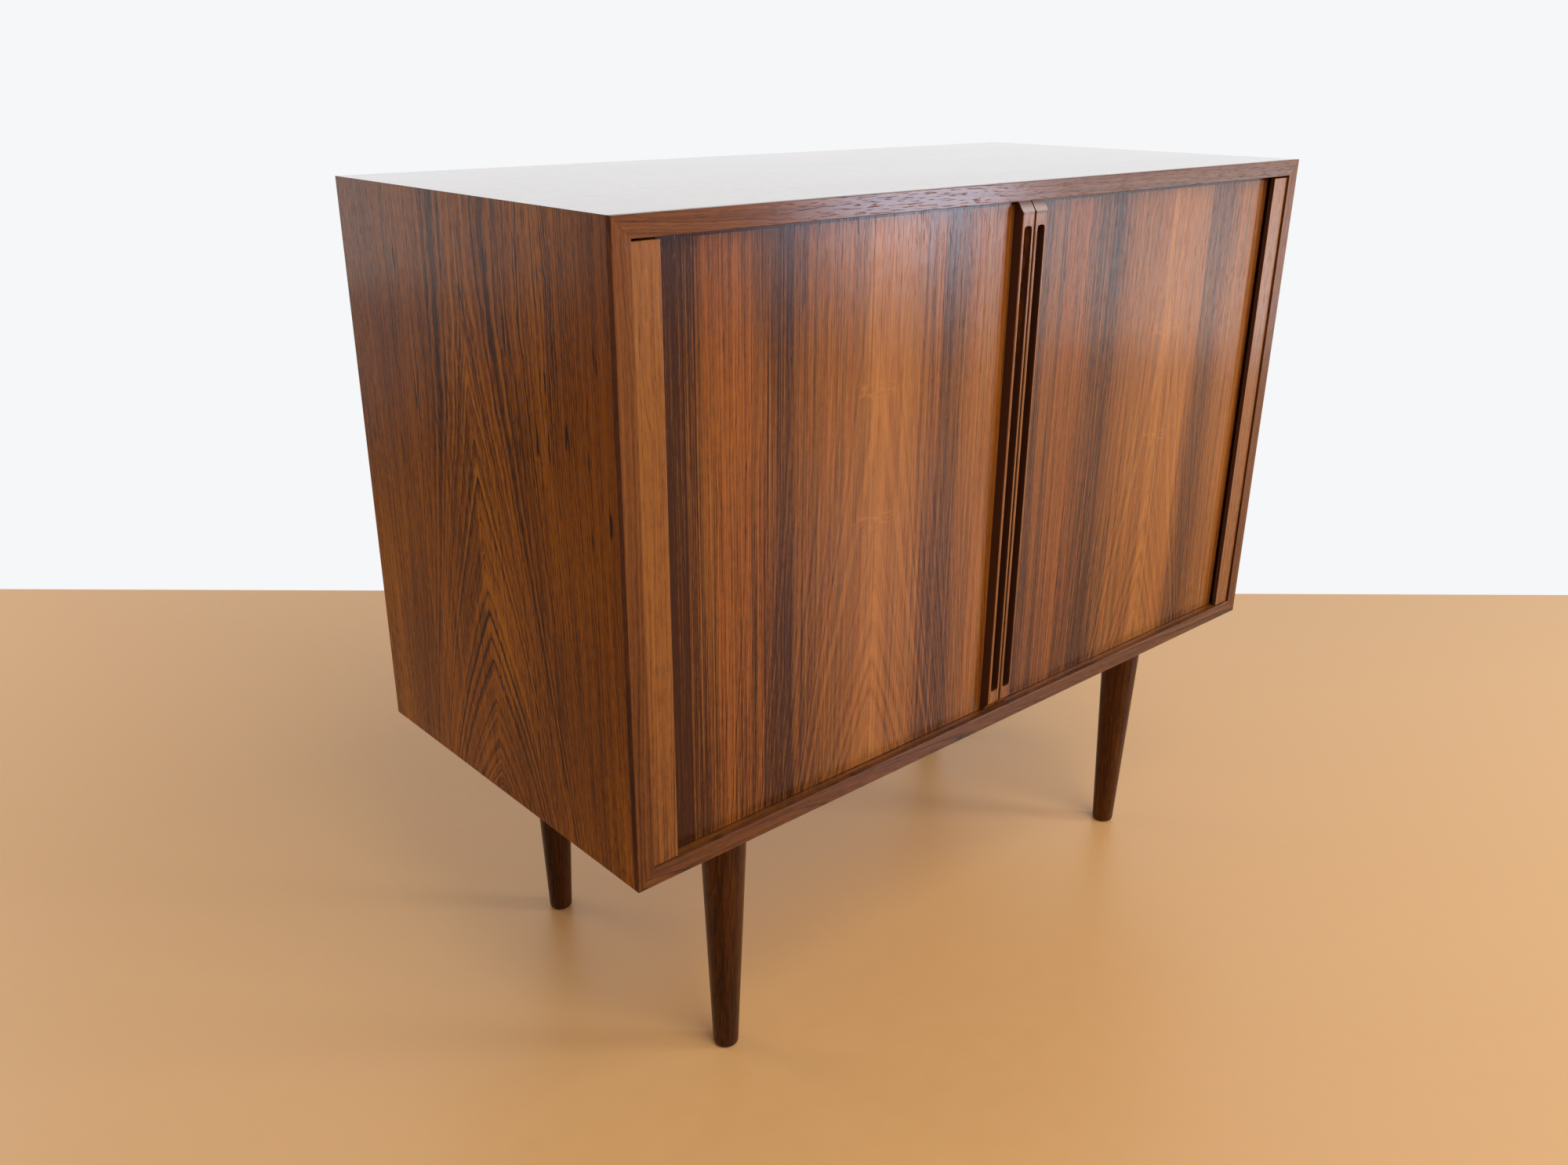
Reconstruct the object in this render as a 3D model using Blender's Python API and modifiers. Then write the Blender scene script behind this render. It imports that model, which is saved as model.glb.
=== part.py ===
"""Tambour door cabinet: a mitred, veneered case on turned legs, closed by two sliding curtains of slats.

Metres, +Z up. The origin is on the floor under the middle of the case, and the front faces -Y.
Each curtain is a lead rail and strips of three slats on their canvas, whose tongues run in a groove.
"""

import math

import bmesh
import bpy
from mathutils import Matrix, Vector

OBJECT_NAME = "tambour_door_cabinet"

# Case
WIDTH = 1.000
DEPTH = 0.470
CASE_HEIGHT = 0.588
BOARD = 0.018
LIPPING = 0.006
GAP = 0.0003
BACK_THICKNESS = 0.006
BACK_SETBACK = 0.0025

# Legs
LEG_LENGTH = 0.300
LEG_INSET_X = 0.154
LEG_INSET_Y = 0.070
LEG_TOP_RADIUS = 0.0255
LEG_FOOT_RADIUS = 0.0138
LEG_ARRIS = 0.0015
FOOT_ROUND = 0.0045
FOOT_ROUND_STEPS = 5
SPIGOT_RADIUS = 0.012
SPIGOT_LENGTH = 0.012
SPIGOT_CHAMFER = 0.001
TURNED_STEPS = 36

# Stiles beside the opening
STILE_WIDTH = 0.0285
STILE_THICKNESS = 0.0055
STILE_SETBACK = 0.0022

# Curtains
CURTAIN_SETBACK = 0.012
SLAT_PITCH = 0.012
SLAT_THICKNESS = 0.0055
CANVAS_THICKNESS = 0.0007
SLAT_CHAMFER = 0.0003
KERF = 0.0004
SLATS_PER_STRIP = 3
SHOULDER_GAP = 0.0008
TONGUE_LENGTH = 0.0055
TONGUE_SHOULDER = 0.0012
CUT_MARGIN = 0.002
FLAT_ANGLE = math.radians(0.5)

# Track for the tongues
TRACK_RADIUS = 0.026
TRACK_SIDE_CLEARANCE = 0.007
CORNER_STEPS = 12
TRACK_END_SETBACK = 0.030
GROOVE_WIDTH = 0.0066
GROOVE_DEPTH = 0.007

# Lead rails
RAIL_WIDTH = 0.019
RAIL_SETBACK = 0.001
RAIL_BEVEL_HEIGHT = 0.010
RAIL_BEVEL_DEPTH = 0.007
SLOT_WIDTH = 0.010
SLOT_DEPTH = 0.0120
SLOT_END = 0.024
SLOT_END_STEPS = 10

# Inside
INNER_SIDE_THICKNESS = 0.009
POCKET_WIDTH = 0.0405
INNER_SIDE_SETBACK = 0.093
DIVIDER_THICKNESS = 0.015
DIVIDER_SETBACK = 0.030
SHELF_THICKNESS = 0.015
SHELF_SETBACK = 0.085
SHELF_PLAY = 0.001
SHELF_HEIGHT = 0.290
PIN_RADIUS = 0.0025
PIN_LENGTH = 0.0135
PIN_IN_BOARD = 0.006
PIN_FRONT_INSET = 0.060
PIN_BACK_INSET = 0.070
PIN_STEPS = 16

# Derived places
HALF_WIDTH = WIDTH / 2
FRONT = -DEPTH / 2
BACK = DEPTH / 2
UNDERSIDE = LEG_LENGTH
TOP = UNDERSIDE + CASE_HEIGHT
FLOOR = UNDERSIDE + BOARD
CEILING = TOP - BOARD
MIDDLE_HEIGHT = (FLOOR + CEILING) / 2
INNER_X = HALF_WIDTH - BOARD
BACK_FACE = BACK - BACK_SETBACK - BACK_THICKNESS
STILE_INNER_X = INNER_X - STILE_WIDTH
CURTAIN_FACE = FRONT + CURTAIN_SETBACK
CURTAIN_THICKNESS = SLAT_THICKNESS + CANVAS_THICKNESS
STRIP_PITCH = SLATS_PER_STRIP * SLAT_PITCH
TONGUE_MIDDLE = (TONGUE_SHOULDER + CURTAIN_THICKNESS) / 2
CORNER_START = INNER_X - TRACK_SIDE_CLEARANCE - TRACK_RADIUS
CORNER_CENTRE_Y = CURTAIN_FACE + TONGUE_MIDDLE + TRACK_RADIUS
CORNER_LENGTH = TRACK_RADIUS * math.radians(90)
TRACK_END = CORNER_START + CORNER_LENGTH + (BACK - TRACK_END_SETBACK - CORNER_CENTRE_Y)
RAIL_OUTER_X = GAP + RAIL_WIDTH
STRIPS_START = RAIL_OUTER_X + GAP
STRIP_COUNT = math.ceil((STILE_INNER_X - STRIPS_START) / STRIP_PITCH)
SHOULDER_LOW = FLOOR + SHOULDER_GAP
SHOULDER_HIGH = CEILING - SHOULDER_GAP
TONGUE_LOW = FLOOR - TONGUE_LENGTH
TONGUE_HIGH = CEILING + TONGUE_LENGTH
INNER_SIDE_X = INNER_X - POCKET_WIDTH
SHELF_BOTTOM = FLOOR + SHELF_HEIGHT
SIDES = (("left", -1), ("right", 1))


def clear_scene():
    for obj in list(bpy.data.objects):
        bpy.data.objects.remove(obj)


def new_collection(name, hidden):
    collection = bpy.data.collections.new(name)
    collection.hide_render = hidden
    bpy.context.scene.collection.children.link(collection)
    return collection


def principled(name, colour, roughness, metallic=0):
    material = bpy.data.materials.new(name)
    material.use_nodes = True
    shader = material.node_tree.nodes["Principled BSDF"]
    shader.inputs["Base Color"].default_value = (*colour, 1)
    shader.inputs["Roughness"].default_value = roughness
    shader.inputs["Metallic"].default_value = metallic
    material.diffuse_color = (*colour, 1)
    return material


clear_scene()
parts = new_collection(OBJECT_NAME, False)
cutters = new_collection("cutters", True)

case_veneer = principled("case_veneer", (0.13, 0.055, 0.026), 0.35)
lipping_wood = principled("lipping_wood", (0.11, 0.045, 0.022), 0.4)
stile_wood = principled("stile_wood", (0.24, 0.10, 0.042), 0.4)
curtain_wood = principled("curtain_wood", (0.20, 0.075, 0.032), 0.38)
rail_wood = principled("rail_wood", (0.22, 0.09, 0.04), 0.38)
leg_wood = principled("leg_wood", (0.045, 0.018, 0.010), 0.4)
inside_wood = principled("inside_wood", (0.30, 0.15, 0.07), 0.5)
back_wood = principled("back_wood", (0.26, 0.14, 0.07), 0.6)
pin_brass = principled("pin_brass", (0.55, 0.40, 0.16), 0.35, 1)


def add_object(name, mesh, material, location=(0, 0, 0)):
    """A new object in the parts, or among the cutters if it has no material."""
    obj = bpy.data.objects.new(name, mesh)
    obj.location = location
    if material is None:
        cutters.objects.link(obj)
        obj.hide_render = True
        obj.display_type = "WIRE"
    else:
        parts.objects.link(obj)
        if not mesh.materials:
            mesh.materials.append(material)
    return obj


def mesh_of(name, bm):
    mesh = bpy.data.meshes.new(name)
    bm.to_mesh(mesh)
    bm.free()
    return mesh


def box(name, x_range, y_range, z_range, material):
    low = Vector((min(x_range), min(y_range), min(z_range)))
    high = Vector((max(x_range), max(y_range), max(z_range)))
    bm = bmesh.new()
    bmesh.ops.create_cube(bm, size=1)
    bmesh.ops.scale(bm, vec=high - low, verts=bm.verts)
    return add_object(name, mesh_of(name, bm), material, (low + high) / 2)


def cylinder(name, radius, length, steps, centre, axis, material):
    bm = bmesh.new()
    bmesh.ops.create_cone(bm, cap_ends=True, segments=steps, radius1=radius, radius2=radius, depth=length)
    turn = Vector((0, 0, 1)).rotation_difference(Vector(axis)).to_matrix().to_4x4()
    bmesh.ops.transform(bm, matrix=turn, verts=bm.verts)
    obj = add_object(name, mesh_of(name, bm), material, centre)
    obj.data.shade_smooth()
    obj.data.set_sharp_from_angle(angle=math.radians(40))
    return obj


def extruded(name, outline, half_length, turn, material, location=(0, 0, 0)):
    """A flat outline filled on both sides and extruded along its normal, then turned by a matrix."""
    curve = bpy.data.curves.new(name, "CURVE")
    curve.dimensions = "2D"
    curve.fill_mode = "BOTH"
    curve.extrude = half_length
    spline = curve.splines.new("POLY")
    spline.points.add(len(outline) - 1)
    for point, (x, y) in zip(spline.points, outline):
        point.co = (x, y, 0, 1)
    spline.use_cyclic_u = True
    drawn = bpy.data.objects.new(name + "_curve", curve)
    cutters.objects.link(drawn)
    bpy.context.view_layer.update()
    graph = bpy.context.evaluated_depsgraph_get()
    mesh = bpy.data.meshes.new_from_object(drawn.evaluated_get(graph))
    bpy.data.objects.remove(drawn)
    bm = bmesh.new()
    bm.from_mesh(mesh)
    bmesh.ops.remove_doubles(bm, verts=bm.verts, dist=GAP / 10)
    bmesh.ops.dissolve_limit(bm, angle_limit=FLAT_ANGLE, verts=bm.verts, edges=bm.edges)
    bmesh.ops.transform(bm, matrix=turn, verts=bm.verts)
    bmesh.ops.recalc_face_normals(bm, faces=bm.faces)
    return add_object(name, mesh_of(name, bm), material, location)


# An outline drawn in x and y stays level, stands as x and z, or stands as y and z.
LEVEL = Matrix.Identity(4)
FACING_FRONT = Matrix.Rotation(math.radians(90), 4, "X")
FACING_SIDE = Matrix(((0, 0, 1, 0), (1, 0, 0, 0), (0, 1, 0, 0), (0, 0, 0, 1)))


def cut(obj, cutter):
    modifier = obj.modifiers.new(cutter.name, "BOOLEAN")
    modifier.operation = "DIFFERENCE"
    modifier.solver = "EXACT"
    modifier.object = cutter


def applied_mesh(obj):
    """The object's mesh with its cuts made, so that copies can share it."""
    bpy.context.view_layer.update()
    graph = bpy.context.evaluated_depsgraph_get()
    mesh = bpy.data.meshes.new_from_object(obj.evaluated_get(graph))
    bpy.data.objects.remove(obj)
    return mesh


def ring_outlines(half_width, low, high, thickness):
    """Four mitred boards round a rectangle, seen from the front. Facing mitres are one gap apart."""
    shift = GAP / math.sqrt(2)
    left = -half_width
    right = half_width
    inner = thickness
    top = [(left + shift, high), (right - shift, high)]
    top += [(right - inner - shift, high - inner), (left + inner + shift, high - inner)]
    bottom = [(left + shift, low), (right - shift, low)]
    bottom += [(right - inner - shift, low + inner), (left + inner + shift, low + inner)]
    left_side = [(left, low + shift), (left, high - shift)]
    left_side += [(left + inner, high - inner - shift), (left + inner, low + inner + shift)]
    right_side = [(-x, z) for x, z in left_side]
    return {"top": top, "bottom": bottom, "left": left_side, "right": right_side}


def case_boards():
    """The veneered boards, and the solid lippings on their front edges."""
    outlines = ring_outlines(HALF_WIDTH, UNDERSIDE, TOP, BOARD)
    board_front = FRONT + LIPPING + GAP
    board_middle = (board_front + BACK) / 2
    lipping_middle = FRONT + LIPPING / 2
    names = {"top": "top_panel", "bottom": "bottom_panel", "left": "left_side", "right": "right_side"}
    boards = {}
    for place, outline in outlines.items():
        half_board = (BACK - board_front) / 2
        at_board = (0, board_middle, 0)
        at_lipping = (0, lipping_middle, 0)
        boards[place] = extruded(names[place], outline, half_board, FACING_FRONT, case_veneer, at_board)
        extruded(place + "_lipping", outline, LIPPING / 2, FACING_FRONT, lipping_wood, at_lipping)
    return boards


def on_track(along, behind, side):
    """x and y of a point of a curtain, from its distance along the track and behind the curtain's face.

    Distances start at the middle of the front. The track is straight, turns 90 degrees round the corner
    of the case, and is straight again along the side.
    """
    layer = TRACK_RADIUS + TONGUE_MIDDLE - behind
    turned = (along - CORNER_START) / TRACK_RADIUS
    if turned <= 0:
        return side * along, CURTAIN_FACE + behind
    if turned < math.radians(90):
        x = CORNER_START + layer * math.sin(turned)
        return side * x, CORNER_CENTRE_Y - layer * math.cos(turned)
    past_corner = along - CORNER_START - CORNER_LENGTH
    return side * (CORNER_START + layer), CORNER_CENTRE_Y + past_corner


def groove_outline():
    """The groove seen from above, from the back of one side, across the front, to the back of the other."""
    corner = [CORNER_START + CORNER_LENGTH * step / CORNER_STEPS for step in range(CORNER_STEPS + 1)]
    stations = corner + [TRACK_END]
    outer = TONGUE_MIDDLE - GROOVE_WIDTH / 2
    inner = TONGUE_MIDDLE + GROOVE_WIDTH / 2
    outline = [on_track(along, outer, -1) for along in reversed(stations)]
    outline += [on_track(along, outer, 1) for along in stations]
    outline += [on_track(along, inner, 1) for along in reversed(stations)]
    outline += [on_track(along, inner, -1) for along in stations]
    return outline


def cut_grooves(boards):
    half_depth = (GROOVE_DEPTH + CUT_MARGIN) / 2
    low = (0, 0, FLOOR - GROOVE_DEPTH + half_depth)
    high = (0, 0, CEILING + GROOVE_DEPTH - half_depth)
    cut(boards["bottom"], extruded("bottom_groove", groove_outline(), half_depth, LEVEL, None, low))
    cut(boards["top"], extruded("top_groove", groove_outline(), half_depth, LEVEL, None, high))


def back_panel():
    x_range = (GAP - INNER_X, INNER_X - GAP)
    z_range = (FLOOR + GAP, CEILING - GAP)
    box("back_panel", x_range, (BACK_FACE, BACK_FACE + BACK_THICKNESS), z_range, back_wood)


def stiles():
    y_front = FRONT + STILE_SETBACK
    for name, side in SIDES:
        x_range = (side * (INNER_X - GAP), side * STILE_INNER_X)
        y_range = (y_front, y_front + STILE_THICKNESS)
        box(name + "_stile", x_range, y_range, (FLOOR + GAP, CEILING - GAP), stile_wood)


def strip_outline(place):
    """Slats with chamfered faces, parted by pointed kerfs down to the canvas that joins their backs."""
    start = -STRIP_PITCH / 2
    kerf_wall = SLAT_THICKNESS - KERF
    outline = []
    for slat in range(SLATS_PER_STRIP):
        left = start + slat * SLAT_PITCH + KERF / 2
        right = left + SLAT_PITCH - KERF
        if slat > 0:
            outline += [(left - KERF / 2, SLAT_THICKNESS), (left, kerf_wall)]
        outline += [(left, SLAT_CHAMFER), (left + SLAT_CHAMFER, 0)]
        outline += [(right - SLAT_CHAMFER, 0), (right, SLAT_CHAMFER)]
        if slat < SLATS_PER_STRIP - 1:
            outline += [(right, kerf_wall)]
    outline += [(-start - KERF / 2, CURTAIN_THICKNESS)]
    for slat in range(SLATS_PER_STRIP - 1, 0, -1):
        outline += [(start + slat * SLAT_PITCH, CURTAIN_THICKNESS)]
    outline += [(start + KERF / 2, CURTAIN_THICKNESS)]
    return [place(along, behind) for along, behind in outline]


def shoulder_outline(place):
    """What is cut from the face of both ends of a strip, which leaves the tongues."""
    start = -STRIP_PITCH / 2 - CUT_MARGIN
    step = (STRIP_PITCH + CUT_MARGIN + CUT_MARGIN) / CORNER_STEPS
    stations = [start + step * index for index in range(CORNER_STEPS + 1)]
    front = [place(along, -CUT_MARGIN) for along in stations]
    behind = [place(along, TONGUE_SHOULDER) for along in reversed(stations)]
    return front + behind


def strip_mesh(name, place):
    """A strip as long as its tongues, with its centre at the origin."""
    half_length = (TONGUE_HIGH - TONGUE_LOW) / 2
    strip = extruded(name, strip_outline(place), half_length, LEVEL, curtain_wood)
    half_cut = (TONGUE_LENGTH + SHOULDER_GAP + CUT_MARGIN) / 2
    for end, way in (("low", -1), ("high", 1)):
        height = way * (half_length + CUT_MARGIN - half_cut)
        cutter_name = name + "_shoulder_" + end
        cut(strip, extruded(cutter_name, shoulder_outline(place), half_cut, LEVEL, None, (0, 0, height)))
    return applied_mesh(strip)


def curtains():
    """Strips from the lead rail to behind the stile, of which those past the corner's start are bent."""
    straight = strip_mesh("straight_strip", lambda along, behind: (along, behind))
    for name, side in SIDES:
        for index in range(STRIP_COUNT):
            middle = STRIPS_START + STRIP_PITCH * (index + 1 / 2)
            node_name = f"{name}_slats_{index + 1:02d}"
            mesh = straight
            if middle + STRIP_PITCH / 2 > CORNER_START:
                mesh = bent_strip_mesh(node_name + "_bent", side, middle)
            add_object(node_name, mesh, curtain_wood, (side * middle, CURTAIN_FACE, MIDDLE_HEIGHT))


def bent_strip_mesh(name, side, middle):
    """A strip that follows the track, drawn from its own place in the curtain."""
    def place(along, behind):
        x, y = on_track(middle + along, behind, side)
        return x - side * middle, y - CURTAIN_FACE

    return strip_mesh(name, place)


def rail_outline():
    """A lead rail seen from the side: bevelled ends in front, and a tongue at the back of both ends."""
    face = FRONT + RAIL_SETBACK
    shoulder = CURTAIN_FACE + TONGUE_SHOULDER
    rear = CURTAIN_FACE + CURTAIN_THICKNESS
    bevelled = face + RAIL_BEVEL_DEPTH
    upper = [(rear, TONGUE_HIGH), (shoulder, TONGUE_HIGH), (shoulder, SHOULDER_HIGH)]
    upper += [(bevelled, SHOULDER_HIGH), (face, SHOULDER_HIGH - RAIL_BEVEL_HEIGHT)]
    lower = [(face, SHOULDER_LOW + RAIL_BEVEL_HEIGHT), (bevelled, SHOULDER_LOW)]
    lower += [(shoulder, SHOULDER_LOW), (shoulder, TONGUE_LOW), (rear, TONGUE_LOW)]
    return upper + lower


def slot_outline():
    """A finger slot seen from the front, with round ends."""
    radius = SLOT_WIDTH / 2
    top_centre = CEILING - SLOT_END - radius
    bottom_centre = FLOOR + SLOT_END + radius
    outline = []
    for centre, first in ((top_centre, 0), (bottom_centre, math.radians(180))):
        for step in range(SLOT_END_STEPS + 1):
            angle = first + math.radians(180) * step / SLOT_END_STEPS
            outline.append((radius * math.cos(angle), centre + radius * math.sin(angle)))
    return outline


def lead_rails():
    slot_half = (SLOT_DEPTH + CUT_MARGIN) / 2
    slot_y = FRONT + RAIL_SETBACK + SLOT_DEPTH - slot_half
    for name, side in SIDES:
        x = side * (GAP + RAIL_WIDTH / 2)
        rail = extruded(name + "_lead_rail", rail_outline(), RAIL_WIDTH / 2, FACING_SIDE, rail_wood, (x, 0, 0))
        slot = extruded(name + "_slot", slot_outline(), slot_half, FACING_FRONT, None, (x, slot_y, 0))
        cut(rail, slot)


def inner_sides():
    """The boards that part the curtain's pockets from the inside of the case."""
    walls = {}
    y_range = (FRONT + INNER_SIDE_SETBACK, BACK_FACE - GAP)
    for name, side in SIDES:
        x_range = (side * INNER_SIDE_X, side * (INNER_SIDE_X - INNER_SIDE_THICKNESS))
        z_range = (FLOOR + GAP, CEILING - GAP)
        walls[name] = box(name + "_inner_side", x_range, y_range, z_range, inside_wood)
    return walls


def centre_divider():
    x_range = (-DIVIDER_THICKNESS / 2, DIVIDER_THICKNESS / 2)
    y_range = (FRONT + DIVIDER_SETBACK, BACK_FACE - GAP)
    return box("centre_divider", x_range, y_range, (FLOOR + GAP, CEILING - GAP), inside_wood)


def shelves():
    y_range = (FRONT + SHELF_SETBACK, BACK_FACE - SHELF_PLAY)
    inner = DIVIDER_THICKNESS / 2 + SHELF_PLAY
    outer = INNER_SIDE_X - INNER_SIDE_THICKNESS - SHELF_PLAY
    z_range = (SHELF_BOTTOM, SHELF_BOTTOM + SHELF_THICKNESS)
    for name, side in SIDES:
        box(name + "_shelf", (side * inner, side * outer), y_range, z_range, inside_wood)


def shelf_pins(walls, divider):
    """Two pins in each inner side and two in each face of the divider, in bored holes."""
    z = SHELF_BOTTOM - GAP - PIN_RADIUS
    rows = (("front", FRONT + SHELF_SETBACK + PIN_FRONT_INSET), ("back", BACK_FACE - PIN_BACK_INSET))
    hole_length = PIN_IN_BOARD + GAP + CUT_MARGIN
    for name, side in SIDES:
        faces = (
            ("outer", walls[name], INNER_SIDE_X - INNER_SIDE_THICKNESS, 1),
            ("inner", divider, DIVIDER_THICKNESS / 2, -1),
        )
        for place, board, face, into in faces:
            pin_x = side * (face + into * (PIN_IN_BOARD - PIN_LENGTH / 2))
            hole_x = side * (face + into * (PIN_IN_BOARD + GAP - hole_length / 2))
            for row, y in rows:
                pin_name = f"{name}_shelf_pin_{place}_{row}"
                hole_at = (hole_x, y, z)
                hole_radius = PIN_RADIUS + GAP
                hole = cylinder(pin_name + "_hole", hole_radius, hole_length, PIN_STEPS, hole_at, (1, 0, 0), None)
                cut(board, hole)
                cylinder(pin_name, PIN_RADIUS, PIN_LENGTH, PIN_STEPS, (pin_x, y, z), (1, 0, 0), pin_brass)


def leg_profile():
    """Half of a leg's section, down its outer side from the spigot's top to the middle of the foot."""
    shoulder = LEG_LENGTH - GAP
    spigot_top = LEG_LENGTH + SPIGOT_LENGTH
    profile = [(0, spigot_top), (SPIGOT_RADIUS - SPIGOT_CHAMFER, spigot_top)]
    profile += [(SPIGOT_RADIUS, spigot_top - SPIGOT_CHAMFER), (SPIGOT_RADIUS, shoulder)]
    profile += [(LEG_TOP_RADIUS - LEG_ARRIS, shoulder), (LEG_TOP_RADIUS, shoulder - LEG_ARRIS)]
    for step in range(FOOT_ROUND_STEPS + 1):
        angle = math.radians(90) * step / FOOT_ROUND_STEPS
        x = LEG_FOOT_RADIUS - FOOT_ROUND * (1 - math.cos(angle))
        profile.append((x, FOOT_ROUND * (1 - math.sin(angle))))
    return profile + [(0, 0)]


def turned(name, profile, material, location):
    """A profile in x and z turned round the z axis."""
    bm = bmesh.new()
    verts = [bm.verts.new((x, 0, z)) for x, z in profile]
    for first, second in zip(verts, verts[1:]):
        bm.edges.new((first, second))
    obj = add_object(name, mesh_of(name, bm), material, location)
    screw = obj.modifiers.new("turn", "SCREW")
    screw.steps = TURNED_STEPS
    screw.render_steps = TURNED_STEPS
    screw.use_merge_vertices = True
    screw.merge_threshold = GAP / 30
    screw.use_smooth_shade = True
    return obj


def legs(bottom):
    depth = SPIGOT_LENGTH + GAP
    socket_length = depth + CUT_MARGIN
    for row, way in (("front", -1), ("back", 1)):
        for name, side in SIDES:
            x = side * (HALF_WIDTH - LEG_INSET_X)
            y = way * (BACK - LEG_INSET_Y)
            leg_name = f"{row}_{name}_leg"
            turned(leg_name, leg_profile(), leg_wood, (x, y, 0))
            socket_at = (x, y, UNDERSIDE + depth - socket_length / 2)
            radius = SPIGOT_RADIUS + GAP
            socket = cylinder(leg_name + "_socket", radius, socket_length, TURNED_STEPS, socket_at, (0, 0, 1), None)
            cut(bottom, socket)


def main():
    boards = case_boards()
    cut_grooves(boards)
    back_panel()
    stiles()
    curtains()
    lead_rails()
    walls = inner_sides()
    divider = centre_divider()
    shelves()
    shelf_pins(walls, divider)
    legs(boards["bottom"])


main()
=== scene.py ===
"""Finished looks for a tambour door cabinet, laid out as a Blender add-on and run as a script.

Metres, in the frame of the CAD part: +Z up, the front faces -Y, and the origin is on the floor.
"""

import math

import bmesh
import bpy
import numpy as np
from bpy.props import FloatProperty, FloatVectorProperty, IntProperty, PointerProperty
from mathutils import Matrix, Vector


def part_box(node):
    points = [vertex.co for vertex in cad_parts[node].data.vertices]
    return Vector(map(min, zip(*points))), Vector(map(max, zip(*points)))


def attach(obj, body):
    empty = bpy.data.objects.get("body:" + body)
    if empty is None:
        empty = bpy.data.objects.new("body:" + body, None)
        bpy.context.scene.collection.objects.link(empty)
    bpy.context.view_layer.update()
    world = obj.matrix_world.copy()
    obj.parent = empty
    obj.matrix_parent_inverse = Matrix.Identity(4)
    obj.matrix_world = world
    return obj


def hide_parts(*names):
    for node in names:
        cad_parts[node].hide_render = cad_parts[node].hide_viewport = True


bl_info = {
    "name": "Tambour Door Cabinet",
    "version": (1, 0, 0),
    "blender": (4, 5, 0),
    "location": "3D View > Sidebar > Cabinet",
    "description": "Builds the finished surfaces of a tambour door cabinet round its CAD frame",
    "category": "Object",
}

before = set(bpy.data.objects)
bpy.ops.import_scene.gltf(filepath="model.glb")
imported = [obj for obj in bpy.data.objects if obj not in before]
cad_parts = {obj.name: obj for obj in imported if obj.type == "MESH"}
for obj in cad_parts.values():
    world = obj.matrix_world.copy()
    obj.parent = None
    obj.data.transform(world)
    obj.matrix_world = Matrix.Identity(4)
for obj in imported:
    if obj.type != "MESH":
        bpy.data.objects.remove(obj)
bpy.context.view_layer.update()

# Sizes read from the frame
LIPPING_LOW, LIPPING_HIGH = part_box("left_lipping")
TOP_LIPPING_LOW, TOP_LIPPING_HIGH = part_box("top_lipping")
STRIP_LOW, STRIP_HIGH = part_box("right_slats_01")
RAIL_LOW, RAIL_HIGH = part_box("right_lead_rail")
PANEL_LOW, PANEL_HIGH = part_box("back_panel")
HALF_WIDTH = -LIPPING_LOW.x
FRONT = LIPPING_LOW.y
BOARD_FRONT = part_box("left_side")[0].y
TOP = TOP_LIPPING_HIGH.z
BOARD = TOP - TOP_LIPPING_LOW.z
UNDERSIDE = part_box("bottom_panel")[0].z
FLOOR = UNDERSIDE + BOARD
CEILING = TOP - BOARD
CURTAIN_FACE = STRIP_LOW.y
TONGUE_LOW = STRIP_LOW.z
TONGUE_HIGH = STRIP_HIGH.z
STRIP_COUNT = sum(name.startswith("left_slats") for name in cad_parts)

# Sizes that repeat the part's own
SHOULDER_GAP = 0.0008
SLAT_PITCH = 0.012
SLATS_PER_STRIP = 3
SLAT_THICKNESS = 0.0055
CURTAIN_THICKNESS = 0.0062
TONGUE_SHOULDER = 0.0012
TONGUE_MIDDLE = (TONGUE_SHOULDER + CURTAIN_THICKNESS) / 2
STRIPS_START = 0.0196
CORNER_START = 0.449
TRACK_RADIUS = 0.026
RAIL_BEVEL_HEIGHT = 0.010
RAIL_BEVEL_DEPTH = 0.007
SLOT_DEPTH = 0.012
SLOT_END = 0.024
LEG_FOOT_RADIUS = 0.0138
LEG_ARRIS = 0.0015
SPIGOT_RADIUS = 0.012
SPIGOT_CHAMFER = 0.001
SHOULDER_LOW = FLOOR + SHOULDER_GAP
SHOULDER_HIGH = CEILING - SHOULDER_GAP
CORNER_CENTRE_Y = CURTAIN_FACE + TONGUE_MIDDLE + TRACK_RADIUS
SIDES = (("left", -1), ("right", 1))
LEGS = ("front_left_leg", "front_right_leg", "back_left_leg", "back_right_leg")
CASE_BOARDS = ("top_panel", "bottom_panel", "left_side", "right_side")

# A recess over each side pocket that the CAD's boards lack, round the tongues of the strips of an open curtain
ROOM_DEPTH = 0.0068
ROOM_CORNER = 0.0005
STACK_X = (0.4430, 0.4804)
STACK_Y = (-0.2162, -0.1055)

# Finger slots, a little wider and squarer at their ends than the part's own
SLOT_HALF = 0.0056
SLOT_SQUARE = 0.45

# Other sizes of the finished surfaces
MERGE = 2e-6
SHARP_ANGLE = 32
MITRE_REACH = 0.001
PANEL_ARRIS = 0.0002
CANVAS_INSET = 0.004
LEG_SEAM = 0.0003
SCREW_INSET = 0.012
SCREWS_ACROSS = 5
SCREWS_UP = 4
# Radius and height up a screw's head, from under it to the dimple for the driver
SCREW_HEAD = (
    (0, -0.0010), (0.0034, -0.0010), (0.0034, 0.0001), (0.0030, 0.0004), (0.0015, 0.0005), (0.0012, 0.0001), (0, 0.0001)
)

# How far off the lead rails' marks fade: the painted shade and painted light in the slots, the painted highlight on the
# tips at the top, and the line under them. A pair is the distance where a mark is nought, then where it is full
SLOT_FADE = 0.001
SLOT_DEEP = (0.001, 0.004)
SLOT_LIGHT_EDGE = (0.0025, 0.0015)
TIP_FADE = 0.0014
TIP_LINE = (0.0036, 0.0028)
TIP_HEIGHT = (0.10, 0.05)

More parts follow.
